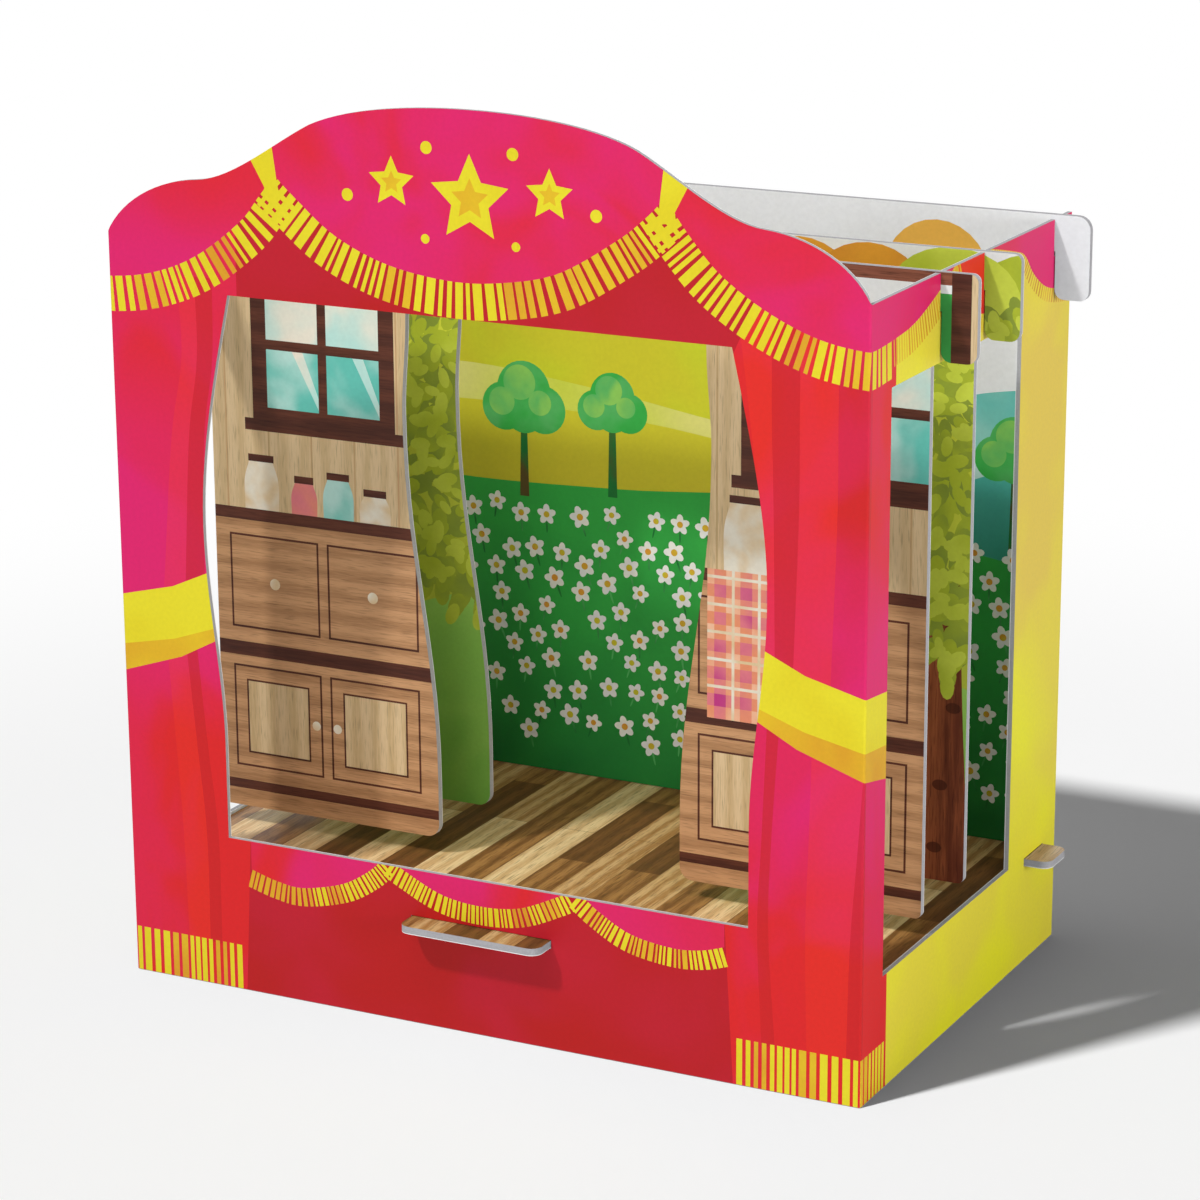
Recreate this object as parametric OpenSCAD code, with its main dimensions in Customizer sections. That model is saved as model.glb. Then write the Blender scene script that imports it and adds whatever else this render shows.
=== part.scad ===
// Flat-pack toy theatre in laminated greyboard.
// A folded shell (front and two sides), a stage floor held by three tabs, and three scenery slabs
// that drop from above into slots in the side rails. Every board is a grey core with a paper facing
// on each side, so each board is drawn as three sheets. The shell's core is the thinner one.
// Millimetres. +X is to the audience's right, +Y towards the rear, +Z up.
// The origin is at the middle of the footprint, on the table.

/* [Board] */
// Thickness of the grey core of the stage and the slabs
core_t = 2.4; // [1.8:0.1:3]
// Thickness of the grey core of the shell
shell_core_t = 1.4; // [1.2:0.1:2.4]
// Thickness of each paper facing
paper_t = 0.3; // [0.2:0.05:0.4]
// Outer radius of the printed paper where it turns round a front corner
fold_r = 1; // [0.6:0.1:1.6]
// Height above the table at which the facings of the shell stop
paper_lift = 0.3; // [0.1:0.1:1]

/* [Shell] */
// Width over the two sides
shell_w = 320; // [290:1:370]
// Depth from the front face to the rear edges of the sides
shell_d = 200; // [190:1:250]
// Height of the sides, and of the front at its two corners
side_h = 304; // [290:1:330]
// Rise of the crown above the corners
crown_rise = 58; // [45:1:75]
// Half the width of the round crown
crown_half_w = 68; // [55:1:80]
// Drop of the round crown from its top to its hips
crown_drop = 10; // [7:0.5:13]
// Rise of each shoulder above its corner
shoulder_rise = 23.5; // [16:0.5:28]
// Run of each shoulder in from its corner
shoulder_run = 41; // [34:1:48]

/* [Proscenium] */
// Height of the opening's sill above the table
sill_h = 63.8; // [58:0.2:72]
// Height of the opening from its sill to its head
opening_h = 220.2; // [200:0.2:226]
// Width of each pillar at the sill
pillar_w = 46.2; // [38:0.2:56]
// Depth of the belly that curves back into each pillar
belly_in = 6.9; // [3:0.1:12]
// Height of the belly above the sill
belly_up = 128; // [110:1:145]
// Overhang of each pillar at the head of the opening
head_over = 7.6; // [3:0.1:12]
// Height of the straight foot of each jamb
jamb_foot = 38; // [20:1:60]

/* [Side windows] */
// Width of the front post of each side
front_post_w = 19.6; // [14:0.2:26]
// Width of the rear post of each side
rear_post_w = 52; // [44:1:62]
// Height of the window's sill above the table
window_sill_h = 45.7; // [45.2:0.1:56]
// Height of the rail over the window
rail_h = 33.5; // [26:0.5:40]

/* [Stage floor] */
// Height of the stage above the table
stage_h = 44.6; // [38:0.1:45]
// Width of the tab that shows at the front
front_tab_w = 61; // [40:1:90]
// Length of the front tab outside the front
front_tab_out = 11.2; // [6:0.2:16]
// Width of each side tab
side_tab_w = 20.5; // [12:0.5:30]
// Length of each side tab outside its side
side_tab_out = 11; // [6:0.2:16]
// Distance of the side tabs' middle from the rear edges of the sides
side_tab_back = 24; // [20:1:34]
// Radius of the tabs' outer corners
tab_r = 4.5; // [2:0.5:5.5]
// Setback of the stage's rear edge from the rear edges of the sides
stage_setback = 0.5; // [0:0.5:6]

/* [Scenery] */
// Distance of the kitchen slab's face behind the front face
kitchen_at = 64.4; // [54:0.2:76]
// Distance of the forest slab's face behind the front face
forest_at = 107.5; // [96:0.5:120]
// Distance of the backdrop's face behind the front face
backdrop_at = 181.5; // [170:0.5:183]
// Depth of the slots in the side rails
slot_deep = 14.5; // [9:0.5:20]
// Width of the ears that hang outside the rails
ear_w = 14.2; // [11:0.2:20]
// Height of the ears
ear_h = 33.5; // [26:0.5:44]
// Radius of the ears' lower corners
ear_foot_r = 4; // [2:0.5:6]
// Radius of the upper outer corners of the kitchen and forest slabs' ears
ear_top_r = 3; // [1:0.5:5]
// Radius of the upper outer corners of the backdrop's ears
backdrop_ear_r = 5.5; // [2:0.5:7]
// How much higher than the others the backdrop hangs, because it stands on the stage
backdrop_rise = 1.6; // [0:0.1:3]
// Width of each leg of the kitchen and forest slabs at its foot
leg_w = 102.4; // [80:0.2:115]
// Depth of the hollow that narrows each leg at its waist
leg_hollow = 13.4; // [6:0.2:20]
// Height of the waist above the foot
waist_up = 175; // [155:1:190]
// Height of the straight stretch over the foot
leg_foot = 23; // [12:1:40]
// How far the leg swells again from its waist up to the bar
leg_swell = 2.2; // [0:0.2:5]
// Height of the bar that joins the two legs
bar_h = 28; // [22:0.5:34]
// Radius of the corners between the legs and the bar
bar_r = 9; // [4:0.5:14]
// Radius of the legs' inner lower corners
foot_r = 5.5; // [2:0.5:8]
// Radius of the outer lower corners of every slab
heel_r = 2.5; // [1:0.5:5]
// Gap between the legs and the stage
foot_gap = 7.9; // [2:0.1:16]

/* [Fits] */
// Gap before and behind a slab in a slot, and between a side and the ear outside it
slot_gap = 0.4; // [0.2:0.05:0.8]
// Gap between a slab and the inner face of each side
slab_gap = 1.4; // [0.4:0.1:3]
// Gap under a seated slab
seat_gap = 0.3; // [0.1:0.05:0.5]
// Gap round the stage and its tabs
tab_gap = 0.3; // [0.15:0.05:0.6]

/* [Hidden] */
$fn = 48;
curve_steps = 14;
corner_steps = 6;
// Margin by which a cut runs past the face that it leaves
past = 1;

board_t = core_t + 2 * paper_t;
shell_t = shell_core_t + 2 * paper_t;
front_y = -(shell_d - front_tab_out) / 2;
rear_y = front_y + shell_d;
inner_w = shell_w - 2 * shell_t;
crown_h = side_h + crown_rise;
stage_under = stage_h - board_t;
slot_w = board_t + 2 * slot_gap;
slab_top = side_h + seat_gap;
notch_top = side_h - slot_deep + seat_gap;
slab_half_w = inner_w / 2 - slab_gap;
ear_in = shell_w / 2 + slot_gap;
ear_out = ear_in + ear_w;
foot_h = stage_h + foot_gap;

// Points along one cubic curve, without its first point
function curve(a, b, c, d, n = curve_steps) = [
    for (i = [1 : n])
        let (t = i / n, u = 1 - t)
        u * u * u * a + 3 * u * u * t * b + 3 * u * t * t * c + t * t * t * d
];

// Points along a round corner from one angle to another
function corner(centre, r, from, to) = [
    for (i = [0 : corner_steps])
        let (angle = from + (to - from) * i / corner_steps)
        centre + r * [cos(angle), sin(angle)]
];

// A half outline on the right, given from top to bottom, closed with its mirror image
function both_halves(half) = concat(
    half,
    [for (i = [len(half) - 1 : -1 : 0]) if (half[i].x > 0) [-half[i].x, half[i].y]]
);

// Right half of the front's top edge, from the crown down to the corner
function top_edge() =
    let (
        top = [0, crown_h],
        hip = [crown_half_w, crown_h - crown_drop],
        neck = [shell_w / 2 - shoulder_run, side_h + shoulder_rise],
        corner_point = [shell_w / 2, side_h],
        flank = neck - hip
    )
    concat(
        [top],
        curve(top, [crown_half_w * 0.37, crown_h],
            hip + [-crown_half_w * 0.235, crown_drop * 0.72], hip),
        curve(hip, hip + [flank.x * 0.31, flank.y * 0.33],
            neck - [flank.x * 0.31, flank.y * 0.04], neck),
        curve(neck, neck + [shoulder_run * 0.44, -shoulder_rise * 0.064],
            corner_point + [-shoulder_run * 0.16, shoulder_rise * 0.55], corner_point)
    );

// Right half of the opening's edge, from the head down to the sill
function jamb_edge() =
    let (
        jamb_x = shell_w / 2 - pillar_w,
        head = [jamb_x - head_over, sill_h + opening_h],
        belly = [jamb_x + belly_in, sill_h + belly_up],
        foot = [jamb_x, sill_h + jamb_foot],
        upper = head.y - belly.y,
        lower = belly.y - foot.y
    )
    concat(
        [head],
        curve(head, head + [belly_in, -upper / 3], belly + [0, upper / 3], belly),
        curve(belly, belly - [0, lower * 0.36], foot + [0, lower * 0.36], foot),
        [[jamb_x, sill_h]]
    );

// Right half of a slab's top and ear, from the middle of the top to the notch for the side
function slab_shoulder(top_r, rise = 0) =
    let (
        top = slab_top + rise,
        foot = top - ear_h,
        notch = notch_top + rise
    )
    concat(
        [[0, top]],
        corner([ear_out - top_r, top - top_r], top_r, 90, 0),
        corner([ear_out - ear_foot_r, foot + ear_foot_r], ear_foot_r, 0, -90),
        corner([ear_in + ear_foot_r, foot + ear_foot_r], ear_foot_r, -90, -180),
        [[ear_in, notch], [slab_half_w, notch]]
    );

// Right half of a leg, from its heel up its inner edge to the middle of the bar
function leg_edge() =
    let (
        foot_x = slab_half_w - leg_w,
        waist = [foot_x + leg_hollow, foot_h + waist_up],
        ankle = [foot_x, foot_h + leg_foot],
        bar_y = slab_top - bar_h,
        bar_corner = [waist.x - leg_swell, bar_y - bar_r],
        lower = waist.y - ankle.y,
        upper = bar_corner.y - waist.y
    )
    concat(
        corner([slab_half_w - heel_r, foot_h + heel_r], heel_r, 0, -90),
        corner([foot_x + foot_r, foot_h + foot_r], foot_r, -90, -180),
        [ankle],
        curve(ankle, ankle + [0, lower * 0.4], waist - [0, lower * 0.4], waist),
        curve(waist, waist + [0, upper / 3], bar_corner - [0, upper / 3], bar_corner),
        corner([bar_corner.x - bar_r, bar_corner.y], bar_r, 0, 90),
        [[0, bar_y]]
    );

// Stand a flat shape up facing the audience: its y becomes height
module standing(face_y, thickness)
    translate([0, face_y + thickness, 0])
        rotate([90, 0, 0])
            linear_extrude(thickness)
                children();

// Plan of the folded shell with round front corners
module rounded_plan(width, depth, radius) {
    translate([-width / 2, radius])
        square([width, depth - radius]);
    translate([-width / 2 + radius, 0])
        square([width - 2 * radius, depth]);
    for (side = [-1, 1])
        translate([side * (width / 2 - radius), radius])
            circle(radius);
}

module plan_inside_paper()
    translate([0, front_y + paper_t])
        rounded_plan(shell_w - 2 * paper_t, shell_d - paper_t, fold_r - paper_t);

module front_shape()
    polygon(both_halves(concat(top_edge(), [[shell_w / 2, 0]])));

module opening_shape()
    polygon(both_halves(jamb_edge()));

module wing_shape()
    polygon(both_halves(concat(slab_shoulder(ear_top_r), leg_edge())));

module backdrop_shape()
    polygon(both_halves(concat(
        slab_shoulder(backdrop_ear_r, backdrop_rise),
        corner([slab_half_w - heel_r, stage_h + seat_gap + heel_r], heel_r, 0, -90)
    )));

// Cut through both sides, at a distance behind the front face
module through_sides(from_front, width, bottom, height)
    translate([-shell_w, front_y + from_front, bottom])
        cube([2 * shell_w, width, height]);

// Every opening and slot of the shell
module shell_cuts() {
    standing(front_y - past, shell_t + 2 * past)
        opening_shape();
    translate([-front_tab_w / 2 - tab_gap, front_y - past, stage_under - tab_gap])
        cube([front_tab_w + 2 * tab_gap, shell_t + 2 * past, board_t + 2 * tab_gap]);
    through_sides(front_post_w, shell_d - front_post_w - rear_post_w,
        window_sill_h, side_h - rail_h - window_sill_h);
    through_sides(shell_d - side_tab_back - side_tab_w / 2 - tab_gap, side_tab_w + 2 * tab_gap,
        stage_under - tab_gap, board_t + 2 * tab_gap);
    for (at = [kitchen_at, forest_at, backdrop_at])
        through_sides(at - slot_gap, slot_w, side_h - slot_deep, slot_deep + past);
}

// Core of the front, mitred at the two folds
module front_board()
    color("#a9a7a3")
        difference() {
            intersection() {
                standing(front_y + paper_t, shell_core_t)
                    front_shape();
                linear_extrude(crown_h)
                    intersection() {
                        plan_inside_paper();
                        polygon([
                            [-shell_w / 2, front_y], [shell_w / 2, front_y],
                            [inner_w / 2 + paper_t, front_y + shell_t - paper_t],
                            [-inner_w / 2 - paper_t, front_y + shell_t - paper_t]
                        ]);
                    }
            }
            shell_cuts();
        }

// Core of one side, mitred at its fold; side is 1 on the right and -1 on the left
module side_board(side)
    color("#a9a7a3")
        difference() {
            linear_extrude(side_h)
                intersection() {
                    plan_inside_paper();
                    polygon([
                        [side * shell_w / 2, front_y], [side * shell_w / 2, rear_y],
                        [side * (inner_w / 2 + paper_t), rear_y],
                        [side * (inner_w / 2 + paper_t), front_y + shell_t - paper_t]
                    ]);
                }
            shell_cuts();
        }

module left_side_board() side_board(-1);

module right_side_board() side_board(1);

// Printed paper that runs round the front and both sides in one sheet
module shell_print()
    color("#d92b45")
        difference() {
            intersection() {
                translate([0, 0, paper_lift])
                    linear_extrude(crown_h)
                        difference() {
                            translate([0, front_y])
                                rounded_plan(shell_w, shell_d, fold_r);
                            plan_inside_paper();
                        }
                union() {
                    standing(front_y - past, shell_t + past)
                        front_shape();
                    translate([-shell_w, front_y, 0])
                        cube([2 * shell_w, shell_d, side_h]);
                }
            }
            shell_cuts();
        }

module front_lining()
    color("#e4e2de")
        difference() {
            intersection() {
                standing(front_y + shell_t - paper_t, paper_t)
                    front_shape();
                translate([-inner_w / 2 - paper_t, front_y, paper_lift])
                    cube([inner_w + 2 * paper_t, shell_d, crown_h]);
            }
            shell_cuts();
        }

module side_lining(side)
    color("#e4e2de")
        difference() {
            translate([side * (inner_w + paper_t) / 2 - paper_t / 2, front_y + shell_t, paper_lift])
                cube([paper_t, shell_d - shell_t, side_h - paper_lift]);
            shell_cuts();
        }

module left_side_lining() side_lining(-1);

module right_side_lining() side_lining(1);

// A tab with round outer corners that points along +Y from the origin
module tab_shape(width, reach) {
    translate([-width / 2, 0])
        square([width, reach - tab_r]);
    translate([-width / 2 + tab_r, 0])
        square([width - 2 * tab_r, reach]);
    for (side = [-1, 1])
        translate([side * (width / 2 - tab_r), reach - tab_r])
            circle(tab_r);
}

// Plan of the stage floor with its front tab and two side tabs
module stage_shape() {
    stage_w = inner_w - 2 * tab_gap;
    stage_front = front_y + shell_t + tab_gap;
    translate([-stage_w / 2, stage_front])
        square([stage_w, rear_y - stage_setback - stage_front]);
    translate([0, stage_front + past])
        rotate(180)
            tab_shape(front_tab_w, front_tab_out + shell_t + tab_gap + past);
    for (side = [-1, 1])
        translate([side * (stage_w / 2 - past), rear_y - side_tab_back])
            rotate(-90 * side)
                tab_shape(side_tab_w, side_tab_out + shell_t + tab_gap + past);
}

module stage_sheet(bottom, thickness)
    translate([0, 0, bottom])
        linear_extrude(thickness)
            stage_shape();

module stage_board() color("#a9a7a3") stage_sheet(stage_under + paper_t, core_t);

module stage_print() color("#9a7444") stage_sheet(stage_h - paper_t, paper_t);

module stage_lining() color("#e4e2de") stage_sheet(stage_under, paper_t);

// The three sheets of a slab whose face lies at a distance behind the front face
module slab_front(at) standing(front_y + at, paper_t) children();

module slab_core(at) standing(front_y + at + paper_t, core_t) children();

module slab_back(at) standing(front_y + at + paper_t + core_t, paper_t) children();

module kitchen_board() color("#a9a7a3") slab_core(kitchen_at) wing_shape();

module kitchen_front_print() color("#cbb18a") slab_front(kitchen_at) wing_shape();

module kitchen_back_print() color("#e4e2de") slab_back(kitchen_at) wing_shape();

module forest_board() color("#a9a7a3") slab_core(forest_at) wing_shape();

module forest_front_print() color("#8f9a2e") slab_front(forest_at) wing_shape();

module forest_back_print() color("#e4e2de") slab_back(forest_at) wing_shape();

module backdrop_board() color("#a9a7a3") slab_core(backdrop_at) backdrop_shape();

module backdrop_front_print() color("#2d8a3c") slab_front(backdrop_at) backdrop_shape();

module backdrop_back_print() color("#e4e2de") slab_back(backdrop_at) backdrop_shape();

front_board();
left_side_board();
right_side_board();
shell_print();
front_lining();
left_side_lining();
right_side_lining();
stage_board();
stage_print();
stage_lining();
kitchen_board();
kitchen_front_print();
kitchen_back_print();
forest_board();
forest_front_print();
forest_back_print();
backdrop_board();
backdrop_front_print();
backdrop_back_print();
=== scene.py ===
"""Looks of a toy theatre of printed greyboard, laid out as a Blender add-on and run as a script."""

import math

import bpy
from mathutils import Matrix, Vector
from mathutils.geometry import delaunay_2d_cdt


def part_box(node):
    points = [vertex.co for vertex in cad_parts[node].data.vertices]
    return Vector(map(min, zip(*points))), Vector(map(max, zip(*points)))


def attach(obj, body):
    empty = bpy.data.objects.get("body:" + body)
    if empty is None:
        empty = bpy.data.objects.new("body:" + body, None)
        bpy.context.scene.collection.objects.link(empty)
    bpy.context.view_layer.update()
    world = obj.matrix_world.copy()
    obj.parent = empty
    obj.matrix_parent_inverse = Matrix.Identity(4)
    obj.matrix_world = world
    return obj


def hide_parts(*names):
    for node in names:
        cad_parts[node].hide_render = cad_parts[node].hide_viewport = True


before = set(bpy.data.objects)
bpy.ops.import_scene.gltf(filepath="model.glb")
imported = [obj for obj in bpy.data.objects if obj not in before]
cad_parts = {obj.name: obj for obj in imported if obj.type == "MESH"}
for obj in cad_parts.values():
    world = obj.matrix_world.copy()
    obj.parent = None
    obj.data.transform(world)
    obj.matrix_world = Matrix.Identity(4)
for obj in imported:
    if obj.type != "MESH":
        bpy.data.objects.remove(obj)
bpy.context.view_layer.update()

bl_info = {
    "name": "Toy theatre",
    "version": (1, 0, 0),
    "blender": (4, 5, 0),
    "location": "3D View > Sidebar > Toy theatre",
    "description": "Printed sheets, board edges and studio for a toy theatre of greyboard",
    "category": "Object",
}

# Sizes from the frame, in millimetres unless said otherwise
MM = 0.001
SHELL_LOW, SHELL_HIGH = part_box("shell_print")
FRONT_Y = SHELL_LOW.y / MM
HALF_W = SHELL_HIGH.x / MM
SHELL_TOP = SHELL_HIGH.z / MM
SHELL_DEPTH = SHELL_HIGH.y / MM - FRONT_Y
SIDE_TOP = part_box("left_side_board")[1].z / MM
STAGE_LOW, STAGE_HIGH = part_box("stage_print")
PAPER_T = (STAGE_HIGH.z - STAGE_LOW.z) / MM
# Outer radius of the curtain sheet's folds at the front corners, half the flat front between them, and the
# length of sheet that one fold takes up
FOLD_R = 1.0
FLAT_HALF = HALF_W - FOLD_R
FOLD_ARC = FOLD_R * math.pi / 2
# How near a corner is to a face that it lies on, how near two points of a drawing are when they are one, and
# the least share of a normal along the axis that its face looks along
ON_FACE = 0.002
MERGE = 0.001
FACING = 0.9
# How far shapes are drawn past the edges of the curtain sheet, bounds past the edges of every slab, and a
# place inside every archway, from which the picture of a leg is drawn
PAST = 3.0
SLAB_X, SLAB_LOW, SLAB_HIGH = 180, 40, 310
LEG_X = 40


def side(y):
    """Where a depth y behind the front face lies on the unfolded curtain sheet, on the right-hand side."""
    return FLAT_HALF + FOLD_ARC + y - FOLD_R


def linear(code):
    """A hex sRGB colour as linear red, green and blue."""
    channels = [int(code[i:i + 2], 16) / 255 for i in (1, 3, 5)]
    return tuple(c / 12.92 if c <= 0.04045 else ((c + 0.055) / 1.055) ** 2.4 for c in channels)


def per_metre(millimetres):
    """A texture scale whose pattern repeats at about this size."""
    return 1 / (millimetres * MM)


# Settings
def colour(name, code, text):
    """A colour property, its default given as a hex sRGB value."""
    return bpy.props.FloatVectorProperty(
        name=name, description=text, subtype="COLOR", size=3, min=0, max=1, default=linear(code))


def length(name, millimetres, text):
    """A length property, its default given in millimetres."""
    return bpy.props.FloatProperty(name=name, description=text, unit="LENGTH", default=millimetres * MM)


def brightness(name, default, text, unit="NONE"):
    """The strength of a lamp, or its power in watts where that unit is given."""
    return bpy.props.FloatProperty(name=name, description=text, default=default, min=0, unit=unit)


class BoardSettings(bpy.types.PropertyGroup):
    """Greyboard cores and plain papers."""
    core: colour("Core", "#B2B1B4", "Grey of the board's cut edges")
    core_fleck: colour("Core fleck", "#A3A2A6", "Darker fibres in the core")
    lining: colour("Lining", "#F1F1F1", "Plain paper on the inner faces")
    lining_shade: colour("Lining shade", "#ECECEC", "Cloudy tone of the plain paper")


class CurtainSettings(bpy.types.PropertyGroup):
    """The printed sheet round the front and both sides."""
    pink: colour("Pink", "#DC216A", "Pink of the curtain wash")
    red: colour("Red", "#DA2325", "Red of the curtain wash")
    fold_light: colour("Light fold", "#E02A22", "Bright red of the folds that catch light")
    fold_pink: colour("Pink fold", "#E02A5E", "Pink end of the light folds")
    fold_dark: colour("Dark fold", "#CC2022", "Red in the hollow of a fold")
    fold_plum: colour("Plum fold", "#CC2044", "Pink end of the dark folds")
    deep: colour("Deep red", "#B61818", "Cloth behind the swags and the apron")
    deep_rose: colour("Deep rose", "#BC1A2C", "Rosy clouds in the deep red")
    yellow: colour("Fringe yellow", "#E6D92A", "Main colour of fringe, ties and stars")
    lemon: colour("Fringe lemon", "#E0CE22", "Second tone of the yellow")
    amber: colour("Fringe amber", "#E2BC24", "Darker strands and the shaded half of the ties")
    ochre: colour("Fringe ochre", "#D89A24", "Second tone of the amber")
    lime: colour("Side lime", "#EBE622", "Ground of the two sides")
    mustard: colour("Side mustard", "#E1C54C", "Warm clouds on the sides")
    valance_fringe: length("Valance fringe", 13.8, "Length of the fringe on the valance")
    rail_fringe: length("Rail fringe", 10, "Length of the fringe on the side rails")
    apron_fringe: length("Apron fringe", 7.6, "Length of the fringe on the apron")
    hem_fringe: length("Hem fringe", 19, "Length of the fringe at the foot of the curtains")


class PlankSettings(bpy.types.PropertyGroup):
    """The stage floor print."""
    pale: colour("Pale plank", "#EFD09C", "Lightest plank")
    honey: colour("Honey plank", "#D6AE78", "Middle plank")
    brown: colour("Brown plank", "#AC7C46", "Darker plank")
    dark: colour("Dark plank", "#7C522A", "Darkest plank and the seams")
    plank_width: length("Plank width", 15.5, "Width of one plank")
    plank_length: length("Plank length", 78, "Length of one plank")
    seam: length("Seam", 0.2, "Dark line between planks")


class KitchenSettings(bpy.types.PropertyGroup):
    """The room print on the first slab."""
    pine: colour("Pine", "#DEC398", "Boarded wall")
    pine_deep: colour("Pine grain", "#C2A474", "Grain of the boarded wall")
    oak: colour("Oak", "#CC9C70", "Dresser")
    oak_deep: colour("Oak grain", "#A2764F", "Grain of the dresser")
    walnut: colour("Walnut", "#5E3324", "Window frames, drawers and the beam's grain")
    beam: colour("Beam", "#935843", "Beam over the archway")
    walnut_deep: colour("Walnut grain", "#3F2018", "Grain of the dark wood")
    pane: colour("Pane", "#62BDAE", "Lower window panes")
    pane_pale: colour("Pale pane", "#B6DDD3", "Upper window panes")
    sky: colour("Window sky", "#F2F2F0", "Upper lights of the room")
    tree: colour("Window tree", "#3FA24A", "Tree outside the upper lights")
    cream: colour("Cream", "#E9E2D0", "Crockery")
    check_pale: colour("Pale check", "#F0BC9A", "Ground of the checked towel")
    check: colour("Check", "#E6926A", "Bands of the checked towel")
    check_rose: colour("Check rose", "#DE7A84", "Rosy part of the bands")
    check_plum: colour("Check plum", "#BE3A80", "Where the bands cross")


class ForestSettings(bpy.types.PropertyGroup):
    """The woodland print on the second slab."""
    glade: colour("Glade", "#D8DC46", "Light between the trees")
    glade_deep: colour("Deep glade", "#B8C040", "Shaded part of the glade")
    leaf: colour("Leaf", "#B4C036", "Middle leaves")
    leaf_deep: colour("Deep leaf", "#8C9C3C", "Leaves in shade")
    leaf_light: colour("Light leaf", "#CED84E", "Leaves in light")
    bark: colour("Bark", "#A85A38", "Trunks")
    bark_deep: colour("Deep bark", "#68301E", "Furrows of the bark")
    grass: colour("Grass", "#A0D060", "Grass at the foot")
    grass_deep: colour("Deep grass", "#74B64C", "Grass in shade")
    autumn: colour("Autumn", "#E6A032", "Amber tree crowns at the top")
    rust: colour("Rust", "#D68A2E", "Darker tree crowns at the top")
    air: colour("Air", "#F0EEEC", "Sky between the tree crowns")


class MeadowSettings(bpy.types.PropertyGroup):
    """The landscape print on the rear slab."""
    sky: colour("Sky", "#F4F4F7", "Pale sky")
    sky_low: colour("Low sky", "#EAE9EA", "Sky near the hills")
    sun: colour("Sun", "#EFB64F", "Low sun")
    sun_deep: colour("Deep sun", "#E9A845", "Warm part of the sun")
    hill: colour("Hill", "#C4D02A", "Sunlit hill")
    hill_warm: colour("Warm hill", "#CCC42C", "Warm part of the hill")
    hill_pale: colour("Pale hill", "#DCD67A", "Hay field band")
    hill_deep: colour("Deep hill", "#CDBF30", "Hill in shade")
    water: colour("Water", "#56BBB2", "Lake")
    water_deep: colour("Deep water", "#2E8C76", "Lake near its shore")
    water_pale: colour("Pale water", "#A8D6CC", "Light on the lake")
    meadow: colour("Meadow", "#35A845", "Sunlit meadow")
    meadow_deep: colour("Deep meadow", "#1B7032", "Meadow towards the stage")
    petal: colour("Petal", "#F2F0E8", "Blossoms")
    heart: colour("Heart", "#E29A34", "Middle of the blossoms")
    crown: colour("Crown", "#55B060", "Round tree crowns")
    crown_light: colour("Crown light", "#8CC65A", "Light on the tree crowns")
    trunk: colour("Trunk", "#5A4A22", "Tree trunks")
    blossom_spacing: length("Blossom spacing", 11.0, "Least distance between blossoms")


class StudioSettings(bpy.types.PropertyGroup):
    """Floor, lamps and camera."""
    floor: colour("Floor", "#FBFBFB", "Pale studio floor")
    bounce: colour("Bounce", "#CACACA", "Grey of the light that the floor throws back")
    key: brightness("Key", 1.6, "Strength of the key sun")
    floor_key: brightness("Floor key", 2.88, "Strength of the same sun on the floor")
    sky: brightness("Sky", 0.2, "Strength of the white room")
    side: brightness("Side", 11.0, "Power of the softbox on the right", "POWER")
    rear: brightness("Rear", 6.0, "Power of the softbox behind", "POWER")
    front: brightness("Front", 6.0, "Power of the softbox before the stage", "POWER")
    top: brightness("Top", 5.0, "Power of the softbox above the stage", "POWER")


class TheatreSettings(bpy.types.PropertyGroup):
    """All settings of the theatre."""
    boards: bpy.props.PointerProperty(type=BoardSettings)
    curtain: bpy.props.PointerProperty(type=CurtainSettings)
    planks: bpy.props.PointerProperty(type=PlankSettings)
    kitchen: bpy.props.PointerProperty(type=KitchenSettings)
    forest: bpy.props.PointerProperty(type=ForestSettings)
    meadow: bpy.props.PointerProperty(type=MeadowSettings)
    studio: bpy.props.PointerProperty(type=StudioSettings)


# Sizes of the patterns in the materials, in millimetres: mottle of coated paper, pores of printed wood,
# layers and flecks of greyboard, clouds and tooth of plain paper
COATING_MOTTLE = 1.6
PORE_W, PORE_L = 0.5, 9.0
LAYER_T, LAYER_RUN, FLECK = 0.45, 6.0, 0.8
PAPER_CLOUD, PAPER_TOOTH = 9.0, 0.7
# How much longer than wide the fibres of printed wood are
FIBRE_STRETCH = 16
# Share of the second ink at the end of a fade, a little over one so that no cloud of the first is left there
FADED = 1.1


# Nodes and materials
def add(tree, kind, links=None, **settings):
    """Adds a node with its settings, gives its inputs values or links, and returns its first live output."""
    node = tree.nodes.new(kind)
    for key, value in settings.items():
        setattr(node, key, value)
    for key, value in (links or {}).items():
        socket = next(s for s in node.inputs if s.identifier == key)
        if isinstance(value, bpy.types.NodeSocket):
            tree.links.new(value, socket)
        else:
            socket.default_value = value
    return next((s for s in node.outputs if s.enabled), node)


def blank_material(name):
    """A material with an empty tree and its Object coordinates."""
    material = bpy.data.materials.new(name)
    material.use_nodes = True
    tree = material.node_tree
    tree.nodes.clear()
    return material, tree, add(tree, "ShaderNodeTexCoord").node.outputs["Object"]


def close_material(tree, tone, height, shine, rough, bump_mm):
    """Ends a paper or board tree: tone, roughness that follows the height, and a shallow relief."""
    roughness = add(tree, "ShaderNodeMapRange", {
        "Value": height, "To Min": rough - 0.05, "To Max": rough + 0.06})
    normal = add(tree, "ShaderNodeBump", {"Height": height, "Strength": 0.35, "Distance": bump_mm * MM})
    shader = add(tree, "ShaderNodeBsdfPrincipled", {
        "Base Color": tone, "Roughness": roughness, "Normal": normal,
        "IOR": 1.5, "Specular IOR Level": shine})
    add(tree, "ShaderNodeOutputMaterial", {"Surface": shader})


def rgba(value):
    """A colour property as the four numbers of a socket."""
    return (*value, 1.0)


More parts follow.
